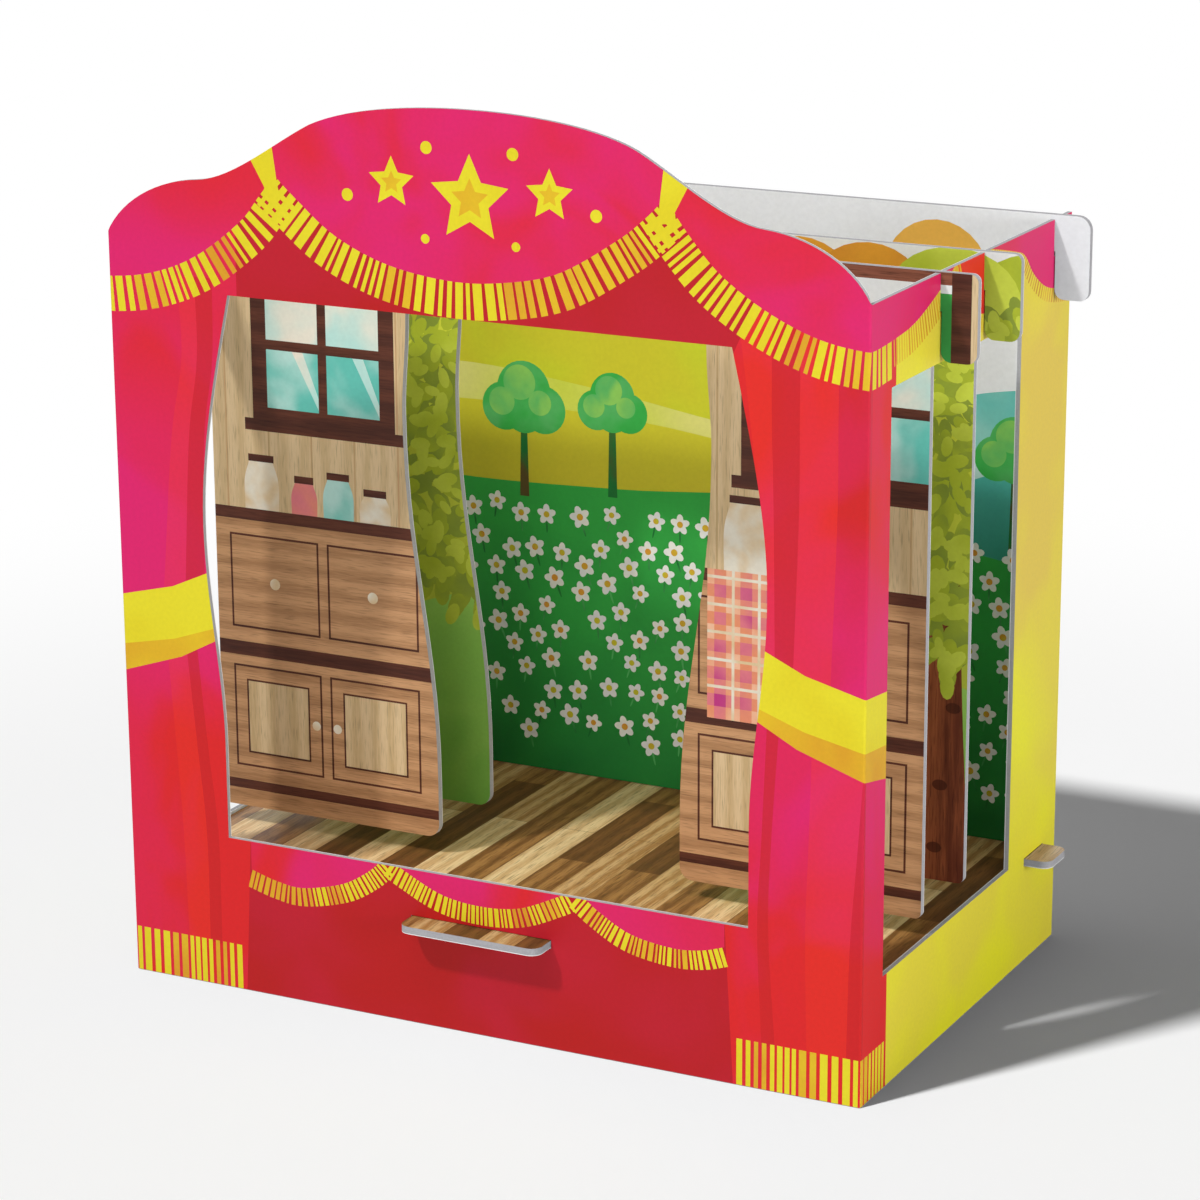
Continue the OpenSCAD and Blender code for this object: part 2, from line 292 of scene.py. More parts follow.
def print_ink(name, first, second, cloud_mm=60.0, fade=None, along=(0, 0, 1), level=None, soft=0.16,
              balance=0.5, cloudy=0.35, swirl=0.3):
    """Offset print on paper under a satin film: two inks run into each other in soft clouds, as in a brushed
    wash, with a faint mottle of the paper. A fade turns the first ink into the second between two places
    along a direction, or between two distances from a level on it."""
    material, tree, at = blank_material(name)
    cloud = add(tree, "ShaderNodeTexNoise", {
        "Vector": at, "Scale": per_metre(cloud_mm), "Detail": 2.5, "Roughness": 0.5, "Distortion": swirl})
    share = add(tree, "ShaderNodeMapRange", {
        "Value": cloud, "From Min": balance - soft, "From Max": balance + soft},
        interpolation_type="SMOOTHSTEP")
    if fade:
        place = add(tree, "ShaderNodeVectorMath", {"Vector": at, "Vector_001": along},
                    operation="DOT_PRODUCT").node.outputs["Value"]
        if level is not None:
            place = add(tree, "ShaderNodeMath", {
                "Value": place, "Value_001": level * MM}, operation="SUBTRACT")
            place = add(tree, "ShaderNodeMath", {"Value": place}, operation="ABSOLUTE")
        share = add(tree, "ShaderNodeMath", {"Value": share, "Value_001": cloudy}, operation="MULTIPLY")
        slope = add(tree, "ShaderNodeMapRange", {
            "Value": place, "From Min": fade[0] * MM, "From Max": fade[1] * MM, "To Max": FADED - cloudy})
        share = add(tree, "ShaderNodeMath", {
            "Value": share, "Value_001": slope}, operation="ADD", use_clamp=True)
    tone = add(tree, "ShaderNodeMix", {
        "Factor_Float": share, "A_Color": rgba(first), "B_Color": rgba(second)}, data_type="RGBA")
    paper = add(tree, "ShaderNodeTexNoise", {"Vector": at, "Scale": per_metre(COATING_MOTTLE), "Detail": 3.0})
    mottle = add(tree, "ShaderNodeMapRange", {"Value": paper, "To Min": 0.93, "To Max": 1.07})
    tone = add(tree, "ShaderNodeMix", {"Factor_Float": 1.0, "A_Color": tone, "B_Color": mottle},
               data_type="RGBA", blend_type="MULTIPLY")
    close_material(tree, tone, paper, shine=0.2, rough=0.5, bump_mm=0.03)
    return material


def wood_print(name, pale, deep, along, grain_mm=1.0, contrast=0.8, pores=0.45):
    """Printed wood under a satin film: fine fibres along one axis over wavering growth rings, with short dark
    pores. The pores are drawn half a millimetre wide, as fine as the picture can show."""
    material, tree, at = blank_material(name)
    axis = "XYZ".index(along)
    stretch, draw = [per_metre(grain_mm)] * 3, [per_metre(PORE_W)] * 3
    stretch[axis] = per_metre(grain_mm * FIBRE_STRETCH)
    draw[axis] = per_metre(PORE_L)
    grain_at = add(tree, "ShaderNodeMapping", {"Vector": at, "Scale": stretch})
    fibre = add(tree, "ShaderNodeTexNoise", {
        "Vector": grain_at, "Scale": 1.0, "Detail": 5.0, "Roughness": 0.62, "Distortion": 0.4})
    rings = add(tree, "ShaderNodeTexWave", {
        "Vector": grain_at, "Scale": 0.035, "Distortion": 7.0, "Detail": 2.0, "Detail Scale": 0.9},
        bands_direction="Z" if along == "X" else "X").node.outputs["Fac"]
    faint = add(tree, "ShaderNodeMath", {"Value": rings, "Value_001": 0.34}, operation="MULTIPLY")
    both = add(tree, "ShaderNodeMath", {"Value": fibre, "Value_001": faint}, operation="ADD")
    share = add(tree, "ShaderNodeMapRange", {
        "Value": both, "From Min": 0.42, "From Max": 0.95, "To Max": contrast},
        interpolation_type="SMOOTHSTEP")
    tone = add(tree, "ShaderNodeMix", {
        "Factor_Float": share, "A_Color": rgba(pale), "B_Color": rgba(deep)}, data_type="RGBA")
    pore_at = add(tree, "ShaderNodeMapping", {"Vector": at, "Scale": draw})
    speck = add(tree, "ShaderNodeTexNoise", {"Vector": pore_at, "Scale": 1.0, "Detail": 2.0})
    speck = add(tree, "ShaderNodeMapRange", {
        "Value": speck, "From Min": 0.52, "From Max": 0.72, "To Max": pores},
        interpolation_type="SMOOTHSTEP")
    tone = add(tree, "ShaderNodeMix", {
        "Factor_Float": speck, "A_Color": tone, "B_Color": rgba(deep * 0.4)}, data_type="RGBA")
    close_material(tree, tone, fibre, shine=0.2, rough=0.5, bump_mm=0.03)
    return material


def greyboard(name, settings, across):
    """Solid greyboard cut with a die: matt pressed layers that run along the sheet, flecked with darker
    fibres."""
    material, tree, at = blank_material(name)
    squeeze = [per_metre(LAYER_RUN)] * 3
    squeeze["XYZ".index(across)] = per_metre(LAYER_T)
    layer_at = add(tree, "ShaderNodeMapping", {"Vector": at, "Scale": squeeze})
    layers = add(tree, "ShaderNodeTexNoise", {"Vector": layer_at, "Scale": 1.0, "Detail": 3.0})
    fleck = add(tree, "ShaderNodeTexNoise", {"Vector": at, "Scale": per_metre(FLECK), "Detail": 4.0})
    both = add(tree, "ShaderNodeMath", {"Value": layers, "Value_001": fleck}, operation="ADD")
    share = add(tree, "ShaderNodeMapRange", {"Value": both, "From Min": 0.8, "From Max": 1.3})
    tone = add(tree, "ShaderNodeMix", {
        "Factor_Float": share, "A_Color": rgba(settings.core), "B_Color": rgba(settings.core_fleck)},
        data_type="RGBA")
    close_material(tree, tone, layers, shine=0.15, rough=0.86, bump_mm=0.12)
    return material


def lining_paper(name, light, shade):
    """Uncoated paper: off-white, matt, with a cloudy formation and a fine tooth."""
    material, tree, at = blank_material(name)
    cloud = add(tree, "ShaderNodeTexNoise", {"Vector": at, "Scale": per_metre(PAPER_CLOUD), "Detail": 4.0})
    share = add(tree, "ShaderNodeMapRange", {"Value": cloud, "From Min": 0.35, "From Max": 0.65})
    tone = add(tree, "ShaderNodeMix", {
        "Factor_Float": share, "A_Color": rgba(light), "B_Color": rgba(shade)}, data_type="RGBA")
    tooth = add(tree, "ShaderNodeTexNoise", {"Vector": at, "Scale": per_metre(PAPER_TOOTH), "Detail": 2.0})
    close_material(tree, tone, tooth, shine=0.25, rough=0.75, bump_mm=0.03)
    return material


def sheet_back(context):
    """The back and the cut rim of a printed sheet, in the grey of the board that it is glued to."""
    boards = context.scene.theatre.boards
    name = "grey_sheet_back"
    return bpy.data.materials.get(name) or lining_paper(name, boards.core, boards.core_fleck)


# Steps of a smooth line from one of its points to the next
CURVE_STEPS = 7


# Drawing on a flat sheet, in millimetres
def curve(points):
    """A smooth line through the points."""
    p = [Vector(q) for q in points]
    p = [2 * p[0] - p[1], *p, 2 * p[-1] - p[-2]]
    line = []
    for a, b, c, d in zip(p, p[1:], p[2:], p[3:]):
        for k in range(CURVE_STEPS):
            t = k / CURVE_STEPS
            line.append((2 * b + (c - a) * t + (2 * a - 5 * b + 4 * c - d) * t ** 2
                         + (3 * b - 3 * c + d - a) * t ** 3) / 2)
    return [(q.x, q.y) for q in [*line, p[-2]]]


def mirrored(points):
    """The same line on the other half of the sheet, still drawn from left to right."""
    return [(-x, z) for x, z in reversed(points)]


def both_halves(shapes):
    """The shapes and their mirror images."""
    return [*shapes, *((ink, mirrored(points)) for ink, points in shapes)]


def band(first, second):
    """The area between two lines that run the same way."""
    return [*first, *reversed(second)]


def above(line):
    """The area between a swag's line and the top of the curtain sheet."""
    return [*line, (line[-1][0], SHELL_TOP + PAST), (line[0][0], SHELL_TOP + PAST)]


def below(line):
    """The area between a line and the foot of a slab."""
    return [*line, (line[-1][0], SLAB_LOW), (line[0][0], SLAB_LOW)]


def box(left, low, right, high):
    """A rectangle."""
    return [(left, low), (right, low), (right, high), (left, high)]


def disc(x, z, wide, high=None, sides=28):
    """A circle or an ellipse, by its half width and half height."""
    high = wide if high is None else high
    turns = [2 * math.pi * k / sides for k in range(sides)]
    return [(x + wide * math.cos(t), z + high * math.sin(t)) for t in turns]


def star(x, z, radius, tips=5, waist=0.48):
    """A star with one tip up."""
    turns = [math.pi / 2 + math.pi * k / tips for k in range(2 * tips)]
    reach = [radius, radius * waist] * tips
    return [(x + r * math.cos(t), z + r * math.sin(t)) for t, r in zip(turns, reach)]


def anticlockwise(points):
    """The outline in the sense that the division of a sheet into triangles expects."""
    twice = sum(a[0] * b[1] - b[0] * a[1] for a, b in zip(points, [*points[1:], points[0]]))
    return points if twice > 0 else points[::-1]


# Geometry Nodes that draw what repeats
def drawing_tree(name, numbers=(), counts=(), inks=()):
    """An empty Geometry Nodes tree with named inputs. Returns it and its inputs by name."""
    tree = bpy.data.node_groups.new(name, "GeometryNodeTree")
    kinds = [("Geometry", "NodeSocketGeometry"), *((n, "NodeSocketFloat") for n in numbers),
             *((n, "NodeSocketInt") for n in counts), *((n, "NodeSocketMaterial") for n in inks)]
    for label, kind in kinds:
        tree.interface.new_socket(label, in_out="INPUT", socket_type=kind)
    tree.interface.new_socket("Geometry", in_out="OUTPUT", socket_type="NodeSocketGeometry")
    given = tree.nodes.new("NodeGroupInput").outputs
    return tree, {label: given[label] for label, _ in kinds}


def close_tree(tree, geometry):
    """Sends the geometry out of the tree."""
    out = tree.nodes.new("NodeGroupOutput")
    tree.links.new(geometry, out.inputs[0])
    return tree


def fringe_tree():
    """Strokes of random width hang square to a line, in runs of one ink or another."""
    tree, given = drawing_tree(
        "Fringe strokes",
        ("Stroke length", "Narrowest stroke", "Widest stroke", "Narrowest gap", "Widest gap", "Other share"),
        ("Run", "Seed"), ("Main ink", "Other ink"))
    line = given["Geometry"]
    whole = add(tree, "GeometryNodeCurveLength", {"Curve": line})
    least = add(tree, "ShaderNodeMath", {
        "Value": given["Narrowest stroke"], "Value_001": given["Narrowest gap"]}, operation="ADD")
    count = add(tree, "ShaderNodeMath", {"Value": whole, "Value_001": least}, operation="DIVIDE")
    points = add(tree, "GeometryNodePoints", {"Count": count})
    width = add(tree, "FunctionNodeRandomValue", {
        "Min_001": given["Narrowest stroke"], "Max_001": given["Widest stroke"], "Seed": given["Seed"]})
    gap_seed = add(tree, "ShaderNodeMath", {"Value": given["Seed"], "Value_001": 1.0}, operation="ADD")
    gap = add(tree, "FunctionNodeRandomValue", {
        "Min_001": given["Narrowest gap"], "Max_001": given["Widest gap"], "Seed": gap_seed})
    step = add(tree, "ShaderNodeMath", {"Value": width, "Value_001": gap}, operation="ADD")
    done = add(tree, "GeometryNodeAccumulateField", {"Value": step}).node.outputs
    half = add(tree, "ShaderNodeMath", {"Value": step, "Value_001": 0.5}, operation="MULTIPLY")
    middle = add(tree, "ShaderNodeMath", {"Value": done["Trailing"], "Value_001": half}, operation="ADD")
    at = add(tree, "GeometryNodeSampleCurve", {"Curves": line, "Length": middle}, mode="LENGTH").node.outputs
    placed = add(tree, "GeometryNodeSetPosition", {"Geometry": points, "Position": at["Position"]})
    fits = add(tree, "FunctionNodeCompare", {"A": done["Leading"], "B": whole}, operation="LESS_EQUAL")
    stroke = add(tree, "GeometryNodeMeshGrid", {"Vertices X": 2, "Vertices Y": 2})
    stroke = add(tree, "GeometryNodeTransform", {"Geometry": stroke, "Translation": (0, -0.5, 0)})
    strokes = add(tree, "GeometryNodeInstanceOnPoints", {
        "Points": placed, "Selection": fits, "Instance": stroke,
        "Rotation": add(tree, "FunctionNodeAlignRotationToVector", {"Vector": at["Tangent"]}, axis="X"),
        "Scale": add(tree, "ShaderNodeCombineXYZ", {"X": width, "Y": given["Stroke length"], "Z": 1.0})})
    strokes = add(tree, "GeometryNodeRealizeInstances", {"Geometry": strokes})
    strokes = add(tree, "GeometryNodeSetMaterial", {"Geometry": strokes, "Material": given["Main ink"]})
    run = add(tree, "ShaderNodeMath", {
        "Value": add(tree, "GeometryNodeInputIndex"), "Value_001": given["Run"]}, operation="DIVIDE")
    run = add(tree, "ShaderNodeMath", {"Value": run}, operation="FLOOR")
    other = add(tree, "FunctionNodeRandomValue", {
        "Probability": given["Other share"], "ID": run, "Seed": given["Seed"]}, data_type="BOOLEAN")
    strokes = add(tree, "GeometryNodeSetMaterial", {
        "Geometry": strokes, "Selection": other, "Material": given["Other ink"]})
    return close_tree(tree, strokes)


def plank_tree():
    """Planks in columns. Every other column is set back by part of a plank and takes the darker two of four
    tones. The two tones of a column take turns along it, except where chance swaps them."""
    tones = ("Ink 1", "Ink 2", "Ink 3", "Ink 4")
    tree, given = drawing_tree(
        "Stage planks", ("Plank width", "Plank length", "Seam", "Set back", "Swaps"),
        ("Columns", "Rows", "Seed"), tones)
    width, depth = given["Plank width"], given["Plank length"]
    spans = []
    for count, one in ((given["Columns"], width), (given["Rows"], depth)):
        steps = add(tree, "ShaderNodeMath", {"Value": count, "Value_001": 1.0}, operation="SUBTRACT")
        spans.append(add(tree, "ShaderNodeMath", {"Value": steps, "Value_001": one}, operation="MULTIPLY"))
    lattice = add(tree, "GeometryNodeMeshGrid", {
        "Size X": spans[0], "Size Y": spans[1],
        "Vertices X": given["Columns"], "Vertices Y": given["Rows"]})
    at = add(tree, "ShaderNodeSeparateXYZ", {"Vector": add(tree, "GeometryNodeInputPosition")}).node.outputs
    column = add(tree, "ShaderNodeMath", {"Value": at["X"], "Value_001": width}, operation="DIVIDE")
    column = add(tree, "ShaderNodeMath", {"Value": column}, operation="ROUND")
    odd = add(tree, "ShaderNodeMath", {"Value": column, "Value_001": 2.0}, operation="FLOORED_MODULO")
    set_back = add(tree, "ShaderNodeMath", {
        "Value": depth, "Value_001": given["Set back"]}, operation="MULTIPLY")
    back_by = add(tree, "ShaderNodeMath", {"Value": odd, "Value_001": set_back}, operation="MULTIPLY")
    back = add(tree, "ShaderNodeCombineXYZ", {"Y": back_by})
    lattice = add(tree, "GeometryNodeSetPosition", {"Geometry": lattice, "Offset": back})
    sides = [add(tree, "ShaderNodeMath", {"Value": one, "Value_001": given["Seam"]}, operation="SUBTRACT")
             for one in (width, depth)]
    size = add(tree, "ShaderNodeCombineXYZ", {"X": sides[0], "Y": sides[1], "Z": 1.0})
    plank = add(tree, "GeometryNodeMeshGrid", {"Vertices X": 2, "Vertices Y": 2})
    planks = add(tree, "GeometryNodeInstanceOnPoints", {"Points": lattice, "Instance": plank, "Scale": size})
    planks = add(tree, "GeometryNodeRealizeInstances", {"Geometry": planks})
    row = add(tree, "ShaderNodeMath", {"Value": at["Y"], "Value_001": back_by}, operation="SUBTRACT")
    row = add(tree, "ShaderNodeMath", {"Value": row, "Value_001": depth}, operation="DIVIDE")
    row = add(tree, "ShaderNodeMath", {"Value": row}, operation="FLOOR")
    swapped = add(tree, "FunctionNodeRandomValue", {
        "Probability": given["Swaps"], "Seed": given["Seed"]}, data_type="BOOLEAN")
    turn = add(tree, "ShaderNodeMath", {"Value": row, "Value_001": swapped}, operation="ADD")
    turn = add(tree, "ShaderNodeMath", {"Value": turn, "Value_001": 2.0}, operation="FLOORED_MODULO")
    tone = add(tree, "ShaderNodeMath", {"Value": odd, "Value_001": 2.0, "Value_002": turn},
               operation="MULTIPLY_ADD")
    for k, ink in enumerate(tones):
        chosen = add(tree, "FunctionNodeCompare", {"A_INT": tone, "B_INT": k},
                     data_type="INT", operation="EQUAL")
        planks = add(tree, "GeometryNodeSetMaterial", {
            "Geometry": planks, "Selection": chosen, "Material": given[ink]})
    return close_tree(tree, planks)


def scatter_tree(name, parts):
    """Points spread over an area at a least spacing, each with a small figure turned and scaled at random.
    A part of the figure is an ellipse, as (ink, half width, half height, distance out, copies in a ring)."""
    inks = list(dict.fromkeys(part[0] for part in parts))
    tree, given = drawing_tree(name, ("Spacing", "Smallest", "Largest", "Turn"), ("Seed",), inks)
    points = add(tree, "GeometryNodeDistributePointsOnFaces", {
        "Mesh": given["Geometry"], "Distance Min": given["Spacing"], "Density Max": 1.0,
        "Seed": given["Seed"]}, distribute_method="POISSON")
    scale = add(tree, "FunctionNodeRandomValue", {
        "Min_001": given["Smallest"], "Max_001": given["Largest"], "Seed": given["Seed"]})
    least = add(tree, "ShaderNodeMath", {"Value": given["Turn"], "Value_001": -1.0}, operation="MULTIPLY")
    turn = add(tree, "FunctionNodeRandomValue", {
        "Min_001": least, "Max_001": given["Turn"], "Seed": given["Seed"]})
    turn = add(tree, "FunctionNodeEulerToRotation", {
        "Euler": add(tree, "ShaderNodeCombineXYZ", {"Z": turn})})
    join = tree.nodes.new("GeometryNodeJoinGeometry")
    for ink, wide, high, out, copies in parts:
        spot = add(tree, "GeometryNodeMeshCircle", {"Vertices": 12, "Radius": 1.0}, fill_type="NGON")
        spot = add(tree, "GeometryNodeTransform", {
            "Geometry": spot, "Scale": (wide, high, 1), "Translation": (0, out, 0)})
        angle = add(tree, "ShaderNodeMath", {
            "Value": add(tree, "GeometryNodeInputIndex"), "Value_001": 2 * math.pi / copies},
            operation="MULTIPLY")
        ring = add(tree, "GeometryNodeInstanceOnPoints", {
            "Points": add(tree, "GeometryNodePoints", {"Count": copies}), "Instance": spot,
            "Rotation": add(tree, "FunctionNodeEulerToRotation", {
                "Euler": add(tree, "ShaderNodeCombineXYZ", {"Z": angle})})})
        ring = add(tree, "GeometryNodeRealizeInstances", {"Geometry": ring})
        figures = add(tree, "GeometryNodeInstanceOnPoints", {
            "Points": points, "Instance": ring, "Rotation": turn, "Scale": scale})
        figures = add(tree, "GeometryNodeRealizeInstances", {"Geometry": figures})
        figures = add(tree, "GeometryNodeSetMaterial", {"Geometry": figures, "Material": given[ink]})
        tree.links.new(figures, join.inputs[0])
    return close_tree(tree, join.outputs[0])


def line_data(points):
    """A line as curve data."""
    data = bpy.data.curves.new("line", "CURVE")
    data.dimensions = "3D"
    spline = data.splines.new("POLY")
    spline.points.add(len(points) - 1)
    for dot, (x, z) in zip(spline.points, points):
        dot.co = (x, z, 0, 1)
    return data


def area_data(areas):
    """Flat areas as a mesh, each divided into triangles, so that points can be spread over them."""
    mesh = bpy.data.meshes.new("area")
    corners = [Vector(p) for area in areas for p in anticlockwise(area)]
    starts = [sum(len(a) for a in areas[:k]) for k in range(len(areas))]
    outlines = [list(range(start, start + len(area))) for start, area in zip(starts, areas)]
    places, _, faces, *_ = delaunay_2d_cdt(corners, [], outlines, 1, MERGE, True)
    mesh.from_pydata([(p.x, p.y, 0) for p in places], [], faces)
    return mesh


def drawn(tree, data, given):
    """Runs a drawing tree on scratch data and returns its faces as printed shapes, in the inks' order."""
    carrier = bpy.data.objects.new("drawing", data)
    bpy.context.scene.collection.objects.link(carrier)
    modifier = carrier.modifiers.new("drawing", "NODES")
    modifier.node_group = tree
    for item in tree.interface.items_tree:
        if item.in_out == "INPUT" and item.name in given:
            modifier[item.identifier] = given[item.name]
    seen = carrier.evaluated_get(bpy.context.evaluated_depsgraph_get())
    mesh = bpy.data.meshes.new_from_object(seen)
    inks = [value for value in given.values() if isinstance(value, bpy.types.Material)]
    shapes = []
    for face in mesh.polygons:
        ink = bpy.data.materials[mesh.materials[face.material_index].name]
        shapes.append((ink, [tuple(mesh.vertices[i].co.xy) for i in face.vertices]))
    carrier.modifiers.remove(modifier)
    bpy.data.objects.remove(carrier)
    bpy.data.meshes.remove(mesh)
    return sorted(shapes, key=lambda shape: inks.index(shape[0]))


# Printed sheets
def flat_front(corner):
    """A corner of an upright slab's front face, laid flat."""
    return corner.x / MM, corner.z / MM


def flat_floor(corner):
    """A corner of the stage's top face, laid flat."""
    return corner.x / MM, corner.y / MM


def unfolded(corner):
    """A corner on the outside of the curtain sheet, unfolded onto the plane of the front."""
    x, y = abs(corner.x) / MM, corner.y / MM - FRONT_Y
    if y >= FOLD_R:
        run = side(y)
    elif x <= FLAT_HALF:
        run = x
    else:
        run = FLAT_HALF + FOLD_R * math.atan2(x - FLAT_HALF, FOLD_R - y)
    return math.copysign(run, corner.x), corner.z / MM


def folded(x, z, depth):
    """Where a point of the unfolded curtain sheet goes, this deep below its outer face."""
    run = abs(x) - FLAT_HALF
    radius = FOLD_R - depth
    turn = min(max(run / FOLD_R, 0), math.pi / 2)
    out = min(abs(x), FLAT_HALF) + radius * math.sin(turn)
    back = FOLD_R - radius * math.cos(turn) + max(run - FOLD_ARC, 0)
    return Vector((math.copysign(out, x), FRONT_Y + back, z)) * MM


def outside_of_fold(corner):
    """True for a corner that lies on the outer face of the curtain sheet."""
    x, y = abs(corner.x) / MM, corner.y / MM - FRONT_Y
    if y < FOLD_R and x > FLAT_HALF:
        off = math.hypot(x - FLAT_HALF, FOLD_R - y) - FOLD_R
    else:
        off = min(abs(y), abs(x - HALF_W))
    return abs(off) < ON_FACE


def printed_sheet(name, node, shapes, ground, back, flat, place, is_outer):
    """A closed sheet of paper that stands for a CAD print: its outer face is cut as the node's is and divided
    along the edges of the printed shapes, of which the last drawn lies on top."""
    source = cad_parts[node].data
    outlines = []
    for face in source.polygons:
        corners = [source.vertices[i].co for i in face.vertices]
        if is_outer(face.normal, corners):
            outlines.append([flat(c) for c in corners])
    cut = len(outlines)
    inks = [ground] * cut + [ink for ink, _ in shapes]
    outlines += [points for _, points in shapes]
    corners = [Vector(p) for outline in outlines for p in anticlockwise(outline)]
    faces, used = [], 0
    for outline in outlines:
        faces.append(list(range(used, used + len(outline))))
        used += len(outline)
    places, _, triangles, _, _, owners = delaunay_2d_cdt(corners, [], faces, 1, MERGE, True)
    kept = [(t, inks[max(o)]) for t, o in zip(triangles, owners) if o and min(o) < cut]
    return sheet_object(name, places, kept, back, place)


def sheet_object(name, places, kept, back, place):
    """Builds the sheet's mesh from flat triangles and their inks: outer face, inner face and the cut rim."""
    order = {v: k for k, v in enumerate(sorted({v for t, _ in kept for v in t}))}
    flat = [places[v] for v in order]
    count = len(flat)
    materials = list(dict.fromkeys(ink for _, ink in kept)) + [back]
    faces, slots, rim = [], [], {}
    for triangle, ink in kept:
        a, b, c = (order[v] for v in triangle)
        if (flat[b] - flat[a]).cross(flat[c] - flat[a]) < 0:
            b, c = c, b
        faces += [(a, b, c), (c + count, b + count, a + count)]
        slots += [materials.index(ink), len(materials) - 1]
        for edge in ((a, b), (b, c), (c, a)):
            if edge[::-1] in rim:
                del rim[edge[::-1]]
            else:
                rim[edge] = True
    for a, b in rim:
        faces.append((b, a, a + count, b + count))
        slots.append(len(materials) - 1)
    mesh = bpy.data.meshes.new(name)
    spots = [place(p.x, p.y, depth) for depth in (0, PAPER_T) for p in flat]
    mesh.from_pydata(spots, [], faces)
    for material in materials:
        mesh.materials.append(material)
    mesh.polygons.foreach_set("material_index", slots)
    bake_map(mesh, flat * 2, len(materials))
    mesh.update()
    piece = bpy.data.objects.new(name, mesh)
    bpy.context.scene.collection.objects.link(piece)
    return piece


def bake_map(mesh, flat, inks):
    """A map with one tile per ink, so that inks which meet on the sheet never share a pixel of a texture."""
    low = Vector((min(p.x for p in flat), min(p.y for p in flat)))
    span = Vector((max(p.x for p in flat), max(p.y for p in flat))) - low
    tiles = math.ceil(math.sqrt(inks))
    margin = 0.03
    places = mesh.uv_layers.new(name="OFBake").data
    for face in mesh.polygons:
        row, column = divmod(face.material_index, tiles)
        for loop in face.loop_indices:
            p = flat[mesh.loops[loop].vertex_index] - low
            u = margin + (1 - 2 * margin) * p.x / span.x
            v = margin + (1 - 2 * margin) * p.y / span.y
            places[loop].uv = ((column + u) / tiles, (row + v) / tiles)


def hand_over(piece, node, body):
    """Puts a finished sheet in the place of its CAD node."""
    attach(piece, body)
    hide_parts(node)


def slab_sheet(name, node, body, shapes, ground, back):
    """The printed front of an upright slab."""
    face_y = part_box(node)[0].y / MM
    piece = printed_sheet(
        name, node, shapes, ground, back, flat_front,
        lambda x, z, depth: Vector((x, face_y + depth, z)) * MM,
        lambda normal, corners: normal.y < -FACING)
    hand_over(piece, node, body)


# Pieces
class THEATRE_OT_boards(bpy.types.Operator):
    """Finish the greyboard cores and the plain papers"""
    bl_idname = "theatre.boards"
    bl_label = "Boards and linings"

    def execute(self, context):
        settings = context.scene.theatre.boards
        lining = lining_paper("uncoated_lining_paper", settings.lining, settings.lining_shade)
        finishes = {
            greyboard("greyboard_upright", settings, "Y"): (
                "front_board", "kitchen_board", "forest_board", "backdrop_board"),
            greyboard("greyboard_side", settings, "X"): ("left_side_board", "right_side_board"),
            greyboard("greyboard_stage", settings, "Z"): ("stage_board",),
            lining: ("front_lining", "left_side_lining", "right_side_lining", "stage_lining",
                     "kitchen_back_print", "forest_back_print", "backdrop_back_print"),
        }
        for material, nodes in finishes.items():
            for node in nodes:
                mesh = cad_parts[node].data
                mesh.materials.clear()
                mesh.materials.append(material)
        return {"FINISHED"}


def fringe(tree, path, hang, inks, seed, stroke=(1.2, 3.9), gap=(0.7, 1.7), share=0.3, run=3):
    """A fringe along a path, with the least and greatest width of its strokes and of the gaps between them,
    the share of runs in the second ink and the strokes in a run."""
    main, other = inks
    return drawn(tree, line_data(path), {
        "Main ink": main, "Other ink": other, "Stroke length": hang, "Narrowest stroke": stroke[0],
        "Widest stroke": stroke[1], "Narrowest gap": gap[0], "Widest gap": gap[1],
        "Other share": share, "Run": run, "Seed": seed})


